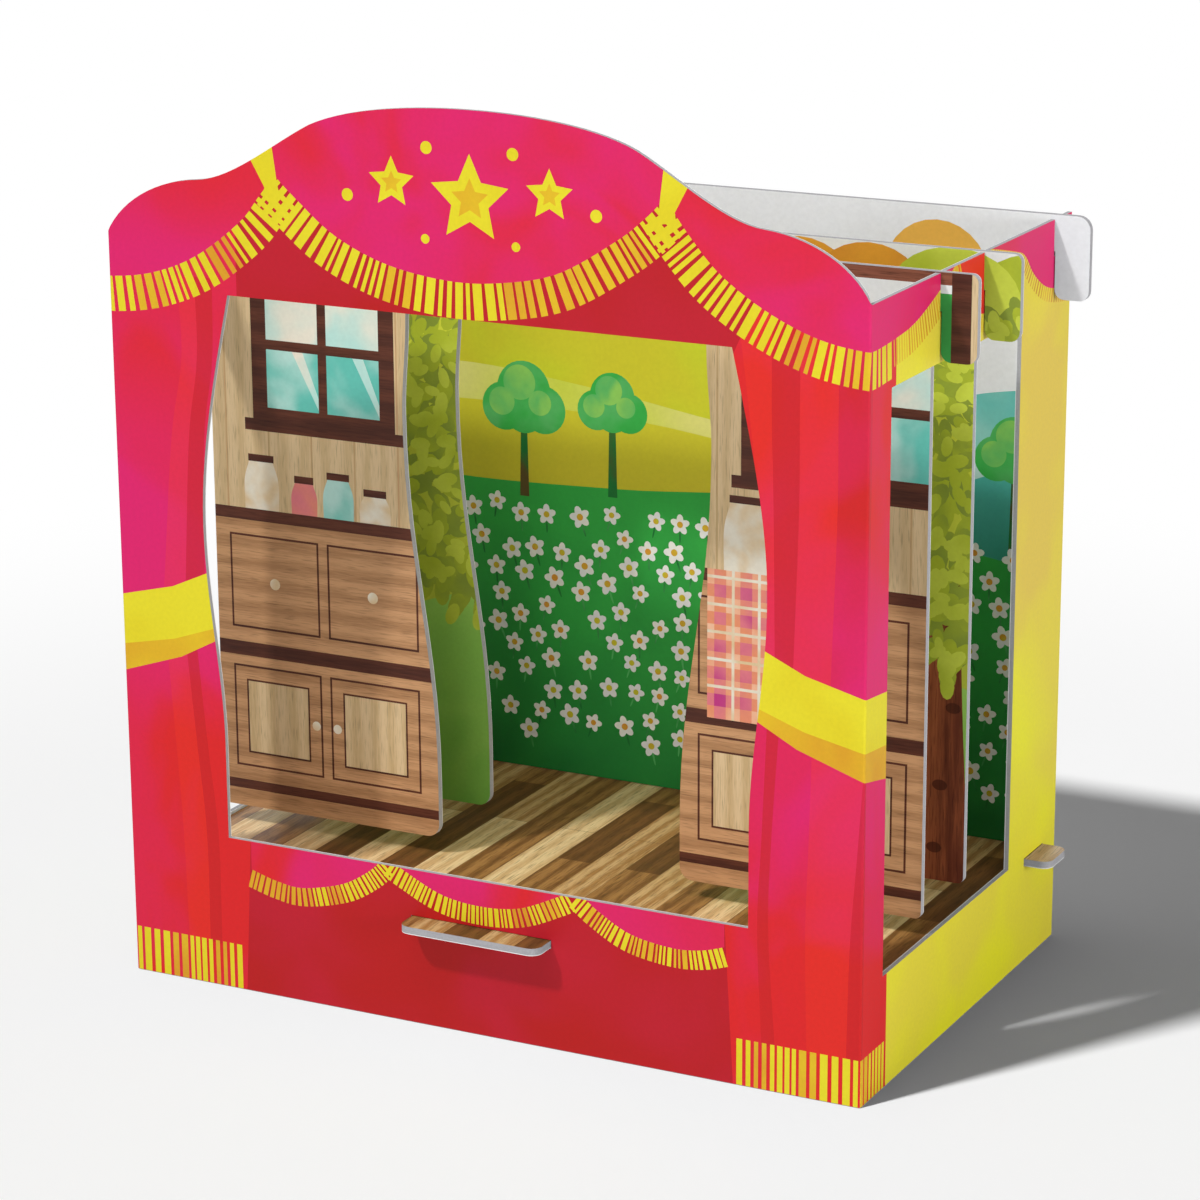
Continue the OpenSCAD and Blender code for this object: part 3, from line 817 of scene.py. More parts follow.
class THEATRE_OT_curtain(bpy.types.Operator):
    """Print the curtain sheet that goes round the front and both sides"""
    bl_idname = "theatre.curtain"
    bl_label = "Curtain sheet"

    def execute(self, context):
        s = context.scene.theatre.curtain
        brushed = {"cloud_mm": 62, "swirl": 0.9}
        gathered = {**brushed, "fade": PINK_REACH, "level": PINK_Z, "along": (PINK_TILT, 0, 1),
                    "soft": 0.12, "cloudy": 0.42}
        wash = print_ink("print_curtain_wash", s.pink, s.red, **gathered)
        light = print_ink("print_curtain_light_fold", s.fold_pink, s.fold_light, **gathered)
        dark = print_ink("print_curtain_dark_fold", s.fold_plum, s.fold_dark, **gathered)
        fading = print_ink("print_curtain_fading_fold", s.pink, s.fold_dark, **gathered)
        swag = print_ink("print_swag_wash", s.pink, s.red, **brushed, soft=0.2, balance=0.56)
        corner_swag = print_ink("print_corner_swag_wash", s.pink, s.red, **brushed,
                                fade=(296, 344), cloudy=0.5)
        deep = print_ink("print_curtain_deep_red", s.deep, s.deep_rose, cloud_mm=55)
        yellow = print_ink("print_fringe_yellow", s.yellow, s.lemon, cloud_mm=40)
        amber = print_ink("print_fringe_amber", s.amber, s.ochre, cloud_mm=40)
        ochre = print_ink("print_fringe_ochre", s.ochre, s.ochre * 0.85, cloud_mm=40)
        lime = print_ink("print_side_lime", s.lime, s.mustard, cloud_mm=70, fade=(200, 260),
                         along=(0, 1.5, 1), cloudy=0.5)
        strands = (yellow, amber)
        tree = fringe_tree()
        shapes = side_grounds(lime)
        shapes += pillar_folds(light, dark, fading)
        shapes += apron(tree, deep, swag, strands, s.apron_fringe / MM)
        shapes += valance(tree, deep, swag, corner_swag, strands, s.valance_fringe / MM)
        shapes += rail_swags(tree, corner_swag, light, strands, (ochre, amber), s.rail_fringe / MM)
        shapes += tie_backs(yellow, amber)
        shapes += hems(tree, strands, s.hem_fringe / MM)
        shapes += crown_stars(yellow, amber)
        piece = printed_sheet(
            "curtain_sheet", "shell_print", shapes, wash, sheet_back(context), unfolded, folded,
            lambda normal, corners: all(outside_of_fold(c) for c in corners))
        # Its red isn't thrown onto the pale floor and the plain papers
        piece.visible_diffuse = False
        hand_over(piece, "shell_print", "shell")
        return {"FINISHED"}


# Depth of the curtain post on each side, and where on it the corner swags, the ties and the hems end
POST_EDGE = 23.5
SWAG_END, TIE_END, HEM_END = 20, 19.8, 22.5
# Height where the curtains are pinkest in the middle, how much lower that is for each millimetre to the
# right, and the distances from it between which pink turns to red
PINK_Z = 168
PINK_TILT = 0.15
PINK_REACH = (36, 90)


def side_grounds(lime):
    """The plain ground of both sides, behind the curtain post and under the rail's swags."""
    return both_halves([(lime, box(side(POST_EDGE), -PAST, side(SHELL_DEPTH + PAST), SIDE_TOP + PAST))])


def pillar_folds(light, dark, fading):
    """Folds of the two gathered curtains, above and below the ties. A group of folds has the heights of its
    points, the ink between each two lines, and the lines as their places across at these heights."""
    groups = [
        ((300, 262, 225, 160), (light, dark, light, fading),
         (108, 113, 117, 121), (122, 122, 123, 124), (133, 133, 133, 131), (148, 148, 148, 146),
         (162, 162, 162, 162)),
        ((146, 100, 64, 18), (dark,), (121, 119, 117.5, 119.5), (126, 123, 122, 125)),
        ((138, 100, 64, 18), (light, dark),
         (139, 138, 137, 138), (160, 157.5, 155, 154), (161, 161, 161, 161)),
        ((290, 258, 225, 164), (light, dark),
         (-129, -128, -134, -140), (-121, -121, -126, -130), (-113, -114, -119, -121)),
        ((146, 100, 64, 18), (light, dark),
         (-140, -137, -135, -134), (-131, -127, -124, -124), (-126, -122, -118.5, -118.5)),
    ]
    shapes = []
    for heights, inks, *places in groups:
        lines = [curve(list(zip(across, heights))) for across in places]
        shapes += [(ink, band(first, second)) for ink, first, second in zip(inks, lines, lines[1:])]
    return shapes


# Height to which the apron is drawn, just past the sill of the opening
APRON_TOP = 66


def apron(tree, deep, wash, strands, hang):
    """The deep red apron under the sill with three small swags."""
    shapes = [(deep, [(-103.5, APRON_TOP), (-107.5, -PAST), (108, -PAST), (104, APRON_TOP)])]
    swags = [
        [(-103.5, 52), (-92, 49), (-80, 48), (-62, 52.5), (-50, 59.5), (-43, APRON_TOP)],
        [(-39, APRON_TOP), (-33, 62.5), (-17, 55.5), (0, 53.5), (17, 55.5), (33, 62.5), (39, APRON_TOP)],
        [(43, APRON_TOP), (52, 59.5), (65, 53), (82, 50.5), (94, 51.5), (104, 54.5)],
    ]
    for seed, points in enumerate(swags, start=11):
        line = curve(points)
        shapes.append((wash, [(line[0][0], APRON_TOP + 1), *line, (line[-1][0], APRON_TOP + 1)]))
        shapes += fringe(tree, line, hang, strands, seed, stroke=(0.8, 2.1), gap=(0.5, 0.9), share=0.25)
    return shapes


# Steps of a swag's line that carry no fringe, next to a knot
KNOT_STEPS = 1
# Step of the rail swag's line, at its third point, where a thin fringe gives way to a broad one
RAIL_SPLIT = 2 * CURVE_STEPS
# Drop of the fringes of the rear swag, of the tail and of the rail swag's end, as shares of the rail fringe
REAR_DROP, TAIL_DROP, END_DROP = 0.55, 0.7, 0.8


def valance(tree, deep, wash, corner_wash, strands, hang):
    """The swags over the stage and round the front corners, their fringes, and the ribbons at their knots."""
    outer = [(120, 298), (140, 290), (160, 287), (side(SWAG_END), 287.5)]
    right = curve([(80, 335), (90, 322), (102, 309.5), *outer])
    left = mirrored(curve([(84, 331.5), (91, 323), (100, 312.5), *outer]))
    centre = curve([(-84, 332), (-75, 324), (-58, 311), (-36, 302), (-10, 298), (12, 299), (36, 304.5),
                    (60, 318.5), (72, 328), (79, 335)])
    shadow = [(-102, 280), (106, 280), (110, 289), (118, 300), (84, 345), (-84, 345), (-102, 312)]
    shapes = [(deep, shadow), (corner_wash, above(right)), (corner_wash, above(left))]
    shapes += fringe(tree, right[KNOT_STEPS:], hang, strands, 21)
    shapes += fringe(tree, left[:-KNOT_STEPS], hang, strands, 27)
    shapes.append((wash, above(centre)))
    shapes += fringe(tree, centre[KNOT_STEPS:-KNOT_STEPS], hang, strands, 24)
    ribbons = [[(79, 346), (88.5, 340), (83.5, 330.8), (84, 327), (77, 326), (77.4, 333.5)],
               [(-84.5, 343), (-94, 337), (-88.2, 327), (-88.5, 324), (-81.5, 323), (-82.7, 330)]]
    return shapes + [(strands[0], ribbon) for ribbon in ribbons]


def rail_swags(tree, wash, light, strands, thin_strands, hang):
    """The swags along both side rails, the tail that hangs between them, and their fringes."""
    rail = curve([(side(SWAG_END), 287.5), (side(40), 290), (side(63), 297.5), (side(84), 307)])
    rear = curve([(side(110), 305), (side(140), 298.5), (side(150), 295), (side(160), 286), (side(176), 278),
                  (side(SHELL_DEPTH + PAST), 273.5)])
    tail_foot = [(side(100), 282), (side(111), 280)]
    tail = [(side(74), 307), *tail_foot, (side(111), 307)]
    shapes = [(wash, above(rail)), (wash, above(rear)), (light, tail)]
    thin = [(rail[:RAIL_SPLIT + 1], 22, 1), (rear, 23, REAR_DROP), (tail_foot, 25, TAIL_DROP)]
    for line, seed, drop in thin:
        shapes += fringe(tree, line, drop * hang, thin_strands, seed, stroke=(0.6, 1.4), gap=(0.8, 1.7))
    shapes += fringe(tree, rail[RAIL_SPLIT:], END_DROP * hang, strands, 26)
    return both_halves(shapes)


def tie_backs(yellow, amber):
    """The broad ties round the curtains, lit above and shaded below, wrapped onto the side posts."""
    end = side(TIE_END)
    upper = [(116, 174), (136, 165), (160, 159), (end, 157)]
    middle = [(113, 151.5), (136, 143.5), (160, 138.5), (end, 136.5)]
    lower = [(113, 147), (133, 136.5), (160, 127.5), (end, 123.5)]
    return both_halves([(yellow, band(upper, middle)), (amber, band(middle, lower))])


def hems(tree, strands, hang):
    """The long fringe at the foot of each curtain, carried round onto the side posts and past the foot."""
    path = [(108.5, hang), (side(HEM_END), hang)]
    return both_halves(fringe(
        tree, path, hang + 1, strands, 31, stroke=(1.6, 3.3), gap=(0.8, 1.8), share=0.35, run=2))


def crown_stars(yellow, amber):
    """A large star in the middle of the crown with smaller ones and dots beside it."""
    shapes = [(yellow, star(0, 329, 17)), (amber, star(0, 329, 8))]
    beside = [(yellow, star(33, 333, 10)), (amber, star(33, 333, 4.5)), (yellow, disc(18, 347, 2.4)),
              (yellow, disc(52, 327, 2.4)), (yellow, disc(19, 313, 1.8))]
    return shapes + both_halves(beside)


# Place of one joint between planks on the stage, from which the others are laid
JOINT_AT = (12.8, 22.6)


class THEATRE_OT_planks(bpy.types.Operator):
    """Print the plank floor of the stage and its tabs"""
    bl_idname = "theatre.planks"
    bl_label = "Plank sheet"

    def execute(self, context):
        s = context.scene.theatre.planks
        seam = wood_print("print_plank_seam", s.dark * 0.6, s.dark, "Y")
        tones = [wood_print("print_plank_" + name, pale, deep, "Y", grain_mm=0.8, contrast=1.1, pores=0.7)
                 for name, pale, deep in (("honey", s.honey, s.brown), ("pale", s.pale, s.honey),
                                          ("brown", s.brown, s.dark), ("dark", s.dark, s.dark * 0.6))]
        floor = STAGE_HIGH - STAGE_LOW
        columns = math.ceil(floor.x / s.plank_width) // 2 * 2 + 3
        rows = math.ceil(floor.y / s.plank_length) // 2 * 2 + 4
        given = {"Plank width": s.plank_width / MM, "Plank length": s.plank_length / MM, "Seam": s.seam / MM,
                 "Set back": 0.577, "Swaps": 0.2, "Columns": columns, "Rows": rows, "Seed": 4}
        given.update({f"Ink {k}": ink for k, ink in enumerate(tones, start=1)})
        shapes = drawn(plank_tree(), bpy.data.meshes.new("floor"), given)
        shapes = [(ink, [(x + JOINT_AT[0], y + JOINT_AT[1]) for x, y in points]) for ink, points in shapes]
        top = STAGE_HIGH.z / MM
        piece = printed_sheet(
            "plank_sheet", "stage_print", shapes, seam, sheet_back(context), flat_floor,
            lambda x, y, depth: Vector((x, y, top - depth)) * MM,
            lambda normal, corners: normal.z > FACING)
        hand_over(piece, "stage_print", "shell")
        return {"FINISHED"}


# Lower edge of the beam over the archway, height of the dresser, and thickness of its top board
BEAM_LOW = 276
DRESSER_TOP = 176
BOARD_T = 5


class THEATRE_OT_kitchen(bpy.types.Operator):
    """Print the room on the first slab"""
    bl_idname = "theatre.kitchen"
    bl_label = "Kitchen sheet"

    def execute(self, context):
        s = context.scene.theatre.kitchen
        pine = wood_print("print_pine_wall", s.pine, s.pine_deep, "Z", contrast=0.6)
        seam = wood_print("print_pine_seam", s.pine_deep, s.oak, "Z")
        oak = wood_print("print_oak_dresser", s.oak, s.oak_deep, "X")
        panel = wood_print("print_pine_panel", s.pine, s.pine_deep, "Z")
        walnut = wood_print("print_walnut", s.walnut, s.walnut_deep, "X")
        pane = print_ink("print_pane_teal", s.pane, s.pane_pale, cloud_mm=25)
        pale = print_ink("print_pane_pale", s.pane_pale, s.cream, cloud_mm=25)
        cream = print_ink("print_crockery_cream", s.cream, s.pine, cloud_mm=14)
        check = print_ink("print_towel_apricot", s.check_pale, s.check, cloud_mm=30)
        rose = print_ink("print_towel_rose", s.check, s.check_rose, cloud_mm=30)
        plum = print_ink("print_towel_plum", s.check_rose, s.check_plum, cloud_mm=30)
        shapes = [(seam, box(x - 0.4, SLAB_LOW, x + 0.4, SLAB_HIGH)) for x in range(-170, 171, 20)]
        shapes += both_halves(dresser(oak, panel, walnut, cream))
        shapes += window(80, 92, walnut, pane, pale)
        shapes += [(ink, mirrored(points)) for ink, points in window(71, 66, walnut, pane, pale)]
        shapes += jars(walnut, (cream, rose, pane))
        shapes += checked_cloth(check, rose, plum, cream)
        sky = print_ink("print_window_sky", s.sky, s.cream, cloud_mm=50, fade=(330, 400))
        foliage = print_ink("print_window_tree", s.tree, s.tree * 0.8, cloud_mm=20)
        beam = wood_print("print_beam", s.beam, s.walnut, "X", grain_mm=1.6, contrast=1.0, pores=0.6)
        shapes += [(beam, box(-SLAB_X, BEAM_LOW, SLAB_X, SLAB_HIGH))]
        shapes += both_halves(upper_lights(sky, foliage, walnut, pine))
        slab_sheet("kitchen_sheet", "kitchen_front_print", "kitchen_slab", shapes, pine,
                   sheet_back(context))
        return {"FINISHED"}


def framed(outline, inner, left, low, right, high, edge):
    """A rectangle with a border of one ink round another."""
    return [(outline, box(left, low, right, high)),
            (inner, box(left + edge, low + edge, right - edge, high - edge))]


def dresser(oak, panel, walnut, cream):
    """A dresser on the right leg: two drawers over two panelled doors, between a top board and a plinth."""
    boards = ((DRESSER_TOP, DRESSER_TOP + BOARD_T), (118, 124), (60, 64))
    shapes = [(oak, box(LEG_X, SLAB_LOW, SLAB_X, DRESSER_TOP))]
    shapes += [(walnut, box(LEG_X, low, SLAB_X, high)) for low, high in boards]
    wide, inset = 42, 6
    drawer, door = (130, 170), (70, 114)
    for left, knob in ((62, 101), (108, 111)):
        right = left + wide
        for low, high in (drawer, door):
            shapes += framed(walnut, oak, left, low, right, high, 0.9)
        shapes += framed(walnut, panel, left + inset, door[0] + inset, right - inset, door[1] - inset, 0.8)
        shapes += [(cream, disc(left + wide / 2, sum(drawer) / 2, 2.4, sides=14)),
                   (cream, disc(knob, sum(door) / 2, 2, sides=14))]
    return shapes


def window(left, wide, walnut, pane, pale):
    """A window of two by two panes in a dark frame with a sill, up to the beam, on the right leg."""
    low, edge, bar = 217, 7, 4
    right, high = left + wide, BEAM_LOW - low
    shapes = [(walnut, box(left, low, right, BEAM_LOW)),
              (walnut, box(left - 4, low - 3, right + 4, low + 2))]
    cell_w, cell_h = (wide - 2 * edge - bar) / 2, (high - edge - bar) / 2
    for x in (left + edge, left + edge + cell_w + bar):
        z = low + edge
        shapes += [(pane, box(x, z, x + cell_w, z + cell_h)),
                   (pale, [(x, z + 6), (x + 7, z + cell_h), (x + 12, z + cell_h), (x, z + 1)]),
                   (pale, box(x, z + cell_h + bar, x + cell_w, BEAM_LOW))]
    return shapes


def upper_lights(sky, foliage, walnut, pine):
    """Two lights over the window on the right leg, with a tree outside, up to the frame on the ear."""
    low, high, right, end = 262, 299.6, 164.3, 172.1
    return [(sky, box(104, BEAM_LOW + 4, right, high)),
            (walnut, box(LEG_X, BEAM_LOW - 2, right, BEAM_LOW + 4)),
            (walnut, box(114, BEAM_LOW, 118, high)),
            (foliage, box(157, low, right, high - 3.2)),
            (walnut, box(right, low, end, SLAB_HIGH)),
            (pine, box(end, low, SLAB_X, SLAB_HIGH))]


def jars(walnut, glazes):
    """Lidded jars on the dresser."""
    cream, rose, teal = glazes
    low = DRESSER_TOP + BOARD_T
    row = ((-134, 8, 20, cream), (-114, 6, 13, rose), (-98, 7, 16, teal), (-81, 7, 11, cream),
           (82, 9, 27, cream))
    shapes = []
    for x, wide, high, ink in row:
        jar = curve([(x - wide, low), (x - wide, low + 0.6 * high), (x - 0.7 * wide, low + high)])
        shapes.append((ink, [*jar, *reversed([(2 * x - a, b) for a, b in jar])]))
        shapes.append((walnut, box(x - 0.75 * wide, low + high, x + 0.75 * wide, low + high + 3)))
    return shapes


def checked_cloth(check, rose, plum, cream):
    """A checked cloth that hangs over the front of the dresser on the right leg."""
    left, right, low, high = 66, 100, 121, DRESSER_TOP + BOARD_T
    pitch, wide, thread = 11, 5, (7.4, 8.6)
    uprights = [left + 3 + pitch * k for k in range(3)]
    levels = [low + 5 + pitch * k for k in range(5)]
    shapes = [(check, box(left, low, right, high))]
    shapes += [(rose, box(x, low, x + wide, high)) for x in uprights]
    shapes += [(rose, box(left, z, right, z + wide)) for z in levels]
    shapes += [(plum, box(x, z, x + wide, z + wide)) for x in uprights for z in levels]
    shapes += [(cream, box(x + thread[0], low, x + thread[1], high)) for x in uprights]
    shapes += [(cream, box(left, z + thread[0], right, z + thread[1])) for z in levels]
    return shapes


# Height where the leaf clumps end and the tops of the trees behind them show, and the furthest that a clump
# is turned either way, in radians
CANOPY_TOP = 284
LEAF_TURN = 3.14


class THEATRE_OT_forest(bpy.types.Operator):
    """Print the woodland on the second slab"""
    bl_idname = "theatre.forest"
    bl_label = "Forest sheet"

    def execute(self, context):
        s = context.scene.theatre.forest
        glade = print_ink("print_glade", s.glade_deep, s.glade, cloud_mm=60, fade=(120, 280))
        leaf = print_ink("print_leaf", s.leaf, s.leaf_deep, cloud_mm=30)
        shade = print_ink("print_leaf_shade", s.leaf_deep, s.leaf, cloud_mm=30)
        bright = print_ink("print_leaf_light", s.leaf_light, s.leaf, cloud_mm=30)
        amber = print_ink("print_crown_amber", s.autumn, s.rust, cloud_mm=40)
        rust = print_ink("print_crown_rust", s.rust, s.autumn, cloud_mm=40)
        air = print_ink("print_forest_air", s.air, s.air * 0.94, cloud_mm=60)
        grass = print_ink("print_forest_grass", s.grass_deep, s.grass, cloud_mm=40, fade=(50, 150))
        bark = wood_print("print_bark", s.bark, s.bark_deep, "Z", grain_mm=2.2, contrast=1.0, pores=0.7)
        knot = wood_print("print_bark_knot", s.bark_deep, s.bark_deep * 0.4, "Z", grain_mm=2.2)
        bank = curve([
            (-SLAB_X, 138), (-120, 128), (-54, 146), (0, 140), (54, 130), (110, 142), (SLAB_X, 126)])
        shapes = [(grass, below(bank)), *both_halves(forked_tree(bark, knot, shade))]
        shapes += tree_tops(air, leaf, bright, (amber, rust))
        tree = scatter_tree("Leaf clumps", [
            ("Shade", 0.6, 1.0, 0.0, 1), ("Middle", 0.5, 0.8, 0.7, 1), ("Light", 0.4, 0.7, 1.3, 1)])
        shapes += drawn(tree, area_data(canopy()), {
            "Shade": shade, "Middle": leaf, "Light": bright, "Spacing": 6.0, "Smallest": 4.5, "Largest": 7.5,
            "Turn": LEAF_TURN, "Seed": 5})
        slab_sheet("forest_sheet", "forest_front_print", "forest_slab", shapes, glade,
                   sheet_back(context))
        return {"FINISHED"}


def forked_tree(bark, knot, shade):
    """A trunk at the outer edge of the right leg, with knots in its bark and a bough towards the archway."""
    stem = band(curve([(140, 175), (139, 120), (136, SLAB_LOW)]),
                curve([(153, 175), (155, 120), (160, SLAB_LOW)]))
    bough = band(curve([(150, 160), (112, 196), (62, 236)]),
                 curve([(152, 176), (114, 208), (64, 242)]))
    knots = [(knot, disc(x, z, 3.2, 2.2)) for x, z in ((146, 92), (151, 124), (144, 66))]
    return [(shade, bough), (bark, stem), *knots]


def tree_tops(air, leaf, bright, autumn):
    """Round tops of the trees behind the foliage: green over the legs, and two autumn inks between them."""
    shapes = [(air, box(-SLAB_X, 286, SLAB_X, SLAB_HIGH))]
    shapes += [(leaf, disc(x, 285, 27, 20)) for x in (-168, -130, 182)]
    shapes += [(autumn[k % 2], disc(-90 + 29 * k, 284, 24, 20)) for k in range(8)]
    return [*shapes, (bright, disc(148, 285, 27, 20))]


def canopy():
    """The areas that leaf clumps fill: one over each leg, and one along the bar between them."""
    rim = curve([(50, 258), (84, 214), (118, 186), (132, 152), (SLAB_X, 142)])
    over_leg = [*rim, (SLAB_X, CANOPY_TOP), (50, CANOPY_TOP)]
    return [over_leg, mirrored(over_leg), box(-60, 270, 60, CANOPY_TOP)]


def round_tree(x, z, size, trunk, crown, light):
    """A broad tree: a trunk and a crown of overlapping rounds, lit from the upper left."""
    rounds = [(-0.55, 0.5, 0.62), (0.55, 0.5, 0.62), (0, 0.95, 0.75), (0, 0.45, 0.6)]
    lit = [(-0.62, 0.62, 0.36), (-0.12, 1.14, 0.45), (0.45, 0.66, 0.32)]
    shapes = [(trunk, [(x - 2.2, z - 30), (x + 2.2, z - 30), (x + 1.4, z + 6), (x - 1.4, z + 6)])]
    shapes += [(crown, disc(x + size * a, z + size * b, size * r)) for a, b, r in rounds]
    return shapes + [(light, disc(x + size * a, z + size * b, size * r)) for a, b, r in lit]


class THEATRE_OT_meadow(bpy.types.Operator):
    """Print the landscape on the rear slab"""
    bl_idname = "theatre.meadow"
    bl_label = "Meadow sheet"

    def execute(self, context):
        s = context.scene.theatre.meadow
        sky = print_ink("print_sky", s.sky_low, s.sky, cloud_mm=80, fade=(240, 300))
        sun = print_ink("print_sun", s.sun, s.sun_deep, cloud_mm=60)
        hill = print_ink("print_hill", s.hill, s.hill_warm, cloud_mm=70)
        hay = print_ink("print_hay_field", s.hill_pale, s.hill, cloud_mm=90)
        shady = print_ink("print_hill_shade", s.hill_deep, s.hill_warm, cloud_mm=60, fade=(180, 215))
        lake = print_ink("print_lake", s.water, s.water_pale, cloud_mm=60)
        shine = print_ink("print_lake_light", s.water_pale, s.sky, cloud_mm=50)
        shore = print_ink("print_lake_shore", s.water_deep, s.water, cloud_mm=60, fade=(164, 206))
        green = print_ink("print_meadow", s.meadow_deep, s.meadow, cloud_mm=60, fade=(54, 128))
        stalk = print_ink("print_stalk", s.meadow_deep, s.crown, cloud_mm=20)
        trunk = print_ink("print_tree_trunk", s.trunk, s.meadow_deep, cloud_mm=18)
        crown = print_ink("print_tree_crown", s.crown, s.meadow, cloud_mm=18)
        light = print_ink("print_tree_light", s.crown_light, s.crown, cloud_mm=18)
        petal = print_ink("print_petal", s.petal, s.sky_low, cloud_mm=9)
        heart = print_ink("print_heart", s.heart, s.hill_warm, cloud_mm=9)
        layers = [
            (hill, [(-SLAB_X, 262), (-120, 252), (-60, 262), (0, 256), (70, 258), (120, 234), (SLAB_X, 210)]),
            (hay, [(-SLAB_X, 214), (-110, 222), (-40, 216), (40, 206), (110, 214), (SLAB_X, 226)]),
            (shady, [(-SLAB_X, 202), (-100, 206), (-20, 204), (60, 196), (130, 202), (SLAB_X, 212)]),
            (lake, [(20, 160), (60, 178), (90, 206), (115, 226), (145, 234), (SLAB_X, 236)]),
            (shine, [(60, 160), (100, 186), (130, 208), (160, 216), (SLAB_X, 218)]),
            (shore, [(70, 160), (110, 186), (140, 200), (SLAB_X, 206)]),
            (green, [(-SLAB_X, 178), (-110, 172), (-30, 174), (40, 178), (110, 168), (SLAB_X, 158)]),
        ]
        shapes = [(sun, disc(110.5, 277.5, 22.6))]
        shapes += [(ink, below(curve(points))) for ink, points in layers]
        for x, z, size in ((-76, 196, 17), (-34, 200, 14), (40, 196, 16), (146, 198, 15)):
            shapes += round_tree(x, z, size, trunk, crown, light)
        tree = scatter_tree("Blossoms", [
            ("Stalk", 0.12, 0.9, -1.3, 1), ("Petal", 0.42, 0.62, 0.62, 5), ("Heart", 0.38, 0.38, 0.0, 1)])
        field = box(-150, 62, 150, 166)
        shapes += drawn(tree, area_data([field]), {
            "Stalk": stalk, "Petal": petal, "Heart": heart, "Spacing": s.blossom_spacing / MM,
            "Smallest": 3.3, "Largest": 4.1, "Turn": 0.4, "Seed": 8})
        slab_sheet("meadow_sheet", "backdrop_front_print", "backdrop_slab", shapes, sky,
                   sheet_back(context))
        return {"FINISHED"}


# Studio, in metres: half the floor's width, and the distances from the theatre's middle between which the
# floor's own shade gives way to plain white
FLOOR_HALF = 9.0
WHITE_FROM, WHITE_AT = 0.3, 0.8
# The way that the key light falls, and the spread that softens its shadows
KEY_FALL = Vector((0.61, 1.0, -1.533))
KEY_BLUR = math.radians(4.2)
# Places of the softboxes, named for the settings of their power, their size, and the point that they face
SOFTBOX_AT = {"side": (1.5, -0.25, 0.35), "rear": (-0.6, 1.6, 0.4), "front": (0.15, -1.75, 0.3),
              "top": (0.1, -0.55, 1.35)}
SOFTBOX_SIZE = (1.0, 0.3)
SOFTBOX_AIM = Vector((0, 0, 0.17))
# Lens and place of the camera, in millimetres, and its turns
LENS_MM = 116.66
CAMERA_AT = Vector((683.5, FRONT_Y - 1231.8, 583.1))
CAMERA_YAW, CAMERA_PITCH, CAMERA_ROLL = (math.radians(a) for a in (27.118, 16.116, -0.325))


def seen_directly(tree):
    """One for rays that show the background itself, straight or in gloss and glass."""
    path = tree.nodes.new("ShaderNodeLightPath").outputs
    either = add(tree, "ShaderNodeMath", {
        "Value": path["Is Camera Ray"], "Value_001": path["Is Glossy Ray"]}, operation="MAXIMUM")
    return add(tree, "ShaderNodeMath", {
        "Value": either, "Value_001": path["Is Transmission Ray"]}, operation="MAXIMUM")


